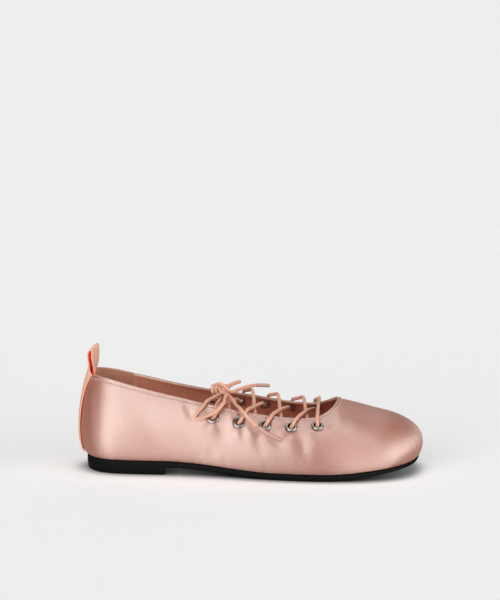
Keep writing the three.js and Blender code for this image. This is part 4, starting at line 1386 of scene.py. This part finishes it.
def slab(edges):
    """A slab of the foot's outline: rings set out from it over a surface, closed by laned lids."""
    place, outward = foot_ring(SLAB_SIDES)
    rings = []
    for out, surface, lift in edges:
        flat = place + outward * out
        rings.append(np.concatenate([flat, surface(flat[:, 0])[:, None] + lift], -1))
    points = [np.concatenate(rings)]
    quads = [ring_quads(len(rings), SLAB_SIDES)]
    lids = []
    used = len(rings) * SLAB_SIDES
    half = SLAB_SIDES // 2
    for level, facing_up in ((0, False), (len(rings) - 1, True)):
        base = level * SLAB_SIDES
        rows = lid_rows(rings[level], *edges[level][1:])
        inner = np.arange(rows.shape[0] * rows.shape[1]).reshape(rows.shape[:2]) + used
        first = np.arange(1, half)[:, None] + base
        last = (SLAB_SIDES - np.arange(1, half))[:, None] + base
        net = np.concatenate([first, inner, last], axis=1)
        cells = np.stack([net[:-1, :-1], net[1:, :-1], net[1:, 1:], net[:-1, 1:]], -1).reshape(-1, 4)
        heel_fan = [[base, a, b] for a, b in zip(net[0, :-1], net[0, 1:])]
        toe_fan = [[base + half, b, a] for a, b in zip(net[-1, :-1], net[-1, 1:])]
        fans = heel_fan + toe_fan
        quads.append(cells if facing_up else cells[:, ::-1])
        lids += fans if facing_up else [fan[::-1] for fan in fans]
        points.append(rows.reshape(-1, 3))
        used += rows.shape[0] * rows.shape[1]
    side_count = len(quads[0])
    under_count = len(quads[1])
    slots = np.zeros(side_count + 2 * under_count + len(lids), int)
    slots[side_count:side_count + under_count] = 1
    slots[side_count + 2 * under_count:side_count + 2 * under_count + len(lids) // 2] = 1
    return np.concatenate(points), np.concatenate(quads), lids, slots


def make_sole():
    """The thin sole with softly rounded edges, and the heel block under its back."""
    points, quads, lids, slots = slab(SOLE_EDGES)
    sole = add_piece("sole_unit", points, quads, [SOLE_EDGE, SOLE_TREAD], lids=lids, slots=slots)
    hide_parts("outsole")
    make_heel()


def make_heel():
    """The heel block: the foot's outline behind the breast line, with a straight breast and soft edges."""
    around = np.linspace(-4.0, 4.0, 1601)
    place, outward = plan(around, 0)
    behind = place[:, 0] < HEEL_BREAST
    place, outward = place[behind][::4], outward[behind][::4]
    breast = np.linspace(0.0, 1.0, 26)[1:-1, None]
    rings = []
    for out, height in HEEL_LEVELS:
        flat = place + outward * out
        back_edge = np.array([min(0.0, out) * BREAST_INSET, 0.0])
        front = flat[-1] + (flat[0] - flat[-1]) * breast + back_edge
        ring = np.concatenate([flat, front])
        rings.append(np.concatenate([ring, np.full((len(ring), 1), height)], -1))
    count = len(rings[0])
    quads = ring_quads(len(rings), count)[:, ::-1]
    lids = [lid[::-1] for lid in end_lids(len(rings), count)]
    slots = np.concatenate([np.zeros(len(quads), int), [1, 0]])
    points = np.concatenate(rings)
    heel = add_piece("heel_block", points, quads, [SOLE_EDGE, SOLE_TREAD], lids=lids, slots=slots)


def make_sock():
    """The insole sock with a rounded upper edge."""
    points, quads, lids, slots = slab(SOCK_EDGES)
    piece = add_piece("sock", points, quads, [SOCK, SOCK], lids=lids, slots=slots)
    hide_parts("insole")


# Eyelets. Their profile: distance from the axis, height over the satin.
EYELET_SIDES = 48
EYELET_INSIDE = -WALL - 0.6
EYELET_PROFILE = (
    (2.6, EYELET_INSIDE - 0.5), (2.6, 0.75), (2.72, 1.12), (3.0, 1.34), (3.4, 1.42), (3.85, 1.26), (4.2, 0.9),
    (4.4, 0.55), (4.36, 0.36), (4.2, 0.32), (3.1, 0.32), (3.1, EYELET_INSIDE), (3.9, EYELET_INSIDE - 0.4),
    (3.75, EYELET_INSIDE - 0.8), (3.3, EYELET_INSIDE - 0.95), (2.85, EYELET_INSIDE - 0.85),
)


def make_eyelets():
    """Each eyelet turned from one profile: domed flange, barrel through the wall, washer inside."""
    profile = np.array(EYELET_PROFILE)
    angle = ring_angles(EYELET_SIDES)
    quads = ring_quads(len(profile), EYELET_SIDES, looped=True)
    for (side, number), (seat, normal, up) in SEATS.items():
        cross = np.cross(up, normal)
        spoke = np.cos(angle)[:, None] * up + np.sin(angle)[:, None] * cross
        points = seat + profile[:, None, :1] * spoke[None] + profile[:, None, 1:] * normal
        name = f"eyelet_{SIDE_NAMES[side]}_{number}"
        piece = add_piece(f"nickel_{name}", points.reshape(-1, 3), quads, [NICKEL])
        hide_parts(name)


# Heel tape. Loop rows: along from the collar's back edge, height over it, twist.
LOOP_ROWS = (
    (-0.7, 0.3, 0.0), (0.1, 4.0, 0.12), (1.1, 8.0, 0.24), (1.6, 12.0, 0.3), (2.0, 15.0, 0.3),
    (2.6, 17.3, 0.3), (3.5, 18.4, 0.3), (4.4, 17.3, 0.3), (4.6, 15.0, 0.3), (4.4, 12.0, 0.3),
    (4.0, 8.0, 0.24), (3.3, 4.0, 0.12), (2.6, -0.6, 0.0),
)
TAPE_LANES = np.linspace(-1.0, 1.0, 13)
TAPE_FACE_SHARE = 0.75
TAPE_STEP = 0.6
TAPE_STRAIGHT_HEIGHT = 16.0


def heel_faces(rise, near, far):
    """A tape station on the heel at one rise: two rows of points at set heights over the satin."""
    sections = np.linspace(-2.5, 2.5, 400)
    y = upper_point(sections, rise)[:, 1]
    order = np.argsort(y)
    around = np.interp(TAPE_LANES * TAPE_HALF, y[order], sections[order])
    normal, _ = upper_frame(around, rise)
    points = upper_point(around, rise)
    return points + normal * near, points + normal * far


def make_heel_tape():
    """One tape: up the heel, over in a twisted loop and down inside the collar."""
    up_heel = np.linspace(TAPE_LOWEST, 1.0, 48)
    stations = [heel_faces(rise, TAPE_GAP, TAPE_GAP + TAPE_THICK) for rise in up_heel]
    edge = upper_point(0.0, 1.0)
    route = smooth_route(np.array(LOOP_ROWS), TAPE_STEP)[2:-2]
    run = unit(np.gradient(route[:, :2], axis=0))
    lane = TAPE_LANES[None]
    curl = TAPE_SAG * (1.0 - smoothstep(route[:, 1], 0.0, TAPE_STRAIGHT_HEIGHT))[:, None] * lane ** 2
    twist = route[:, 2:]

    def face(offset):
        x = edge[0] + route[:, :1] - run[:, 1:] * offset + lane * TAPE_HALF * np.sin(twist) + curl
        y = lane * TAPE_HALF * np.cos(twist)
        z = edge[2] + route[:, 1:2] * (1.0 + LOOP_TILT * lane) + run[:, :1] * offset
        return np.stack([x, y, z], -1)

    stations += list(zip(face(-TAPE_THICK / 2), face(TAPE_THICK / 2)))
    inside = (-WALL - TAPE_GAP, -WALL - TAPE_GAP - TAPE_THICK)
    stations += [heel_faces(rise, *inside) for rise in np.linspace(1.0, TAPE_INSIDE, 12)]
    near, far = np.moveaxis(np.array(stations), 1, 0)
    edges = far + (near - far) * TAPE_FACE_SHARE
    rings = np.concatenate([far[:, ::-1], edges[:, :1], near, edges[:, -1:]], axis=1)
    rows, count = rings.shape[:2]
    lanes = len(TAPE_LANES)
    quads = ring_quads(rows, count)
    lids = end_lids(rows, count)
    column = np.tile(np.arange(count), rows - 1)
    backing = (column >= lanes) & (column <= 2 * lanes)
    slots = np.concatenate([np.where(backing, 1, 0), [1, 1]])
    walked = walked_along(rings[:, lanes // 2])
    maps = {"surface": ring_map(walked, count, 2.0 * TAPE_HALF / (lanes - 1))}
    points = rings.reshape(-1, 3)
    materials = [TAPE, TAPE_BACK]
    piece = add_piece("heel_pull_tape", points, quads, materials, lids=lids, slots=slots, maps=maps)
    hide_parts("heel_tape")


make_camera()
make_lacing()
make_bow()
make_knot()
make_studio()
make_upper()
make_collar_stitching()
make_grip_stitching()
make_sole()
make_sock()
make_eyelets()
make_heel_tape()
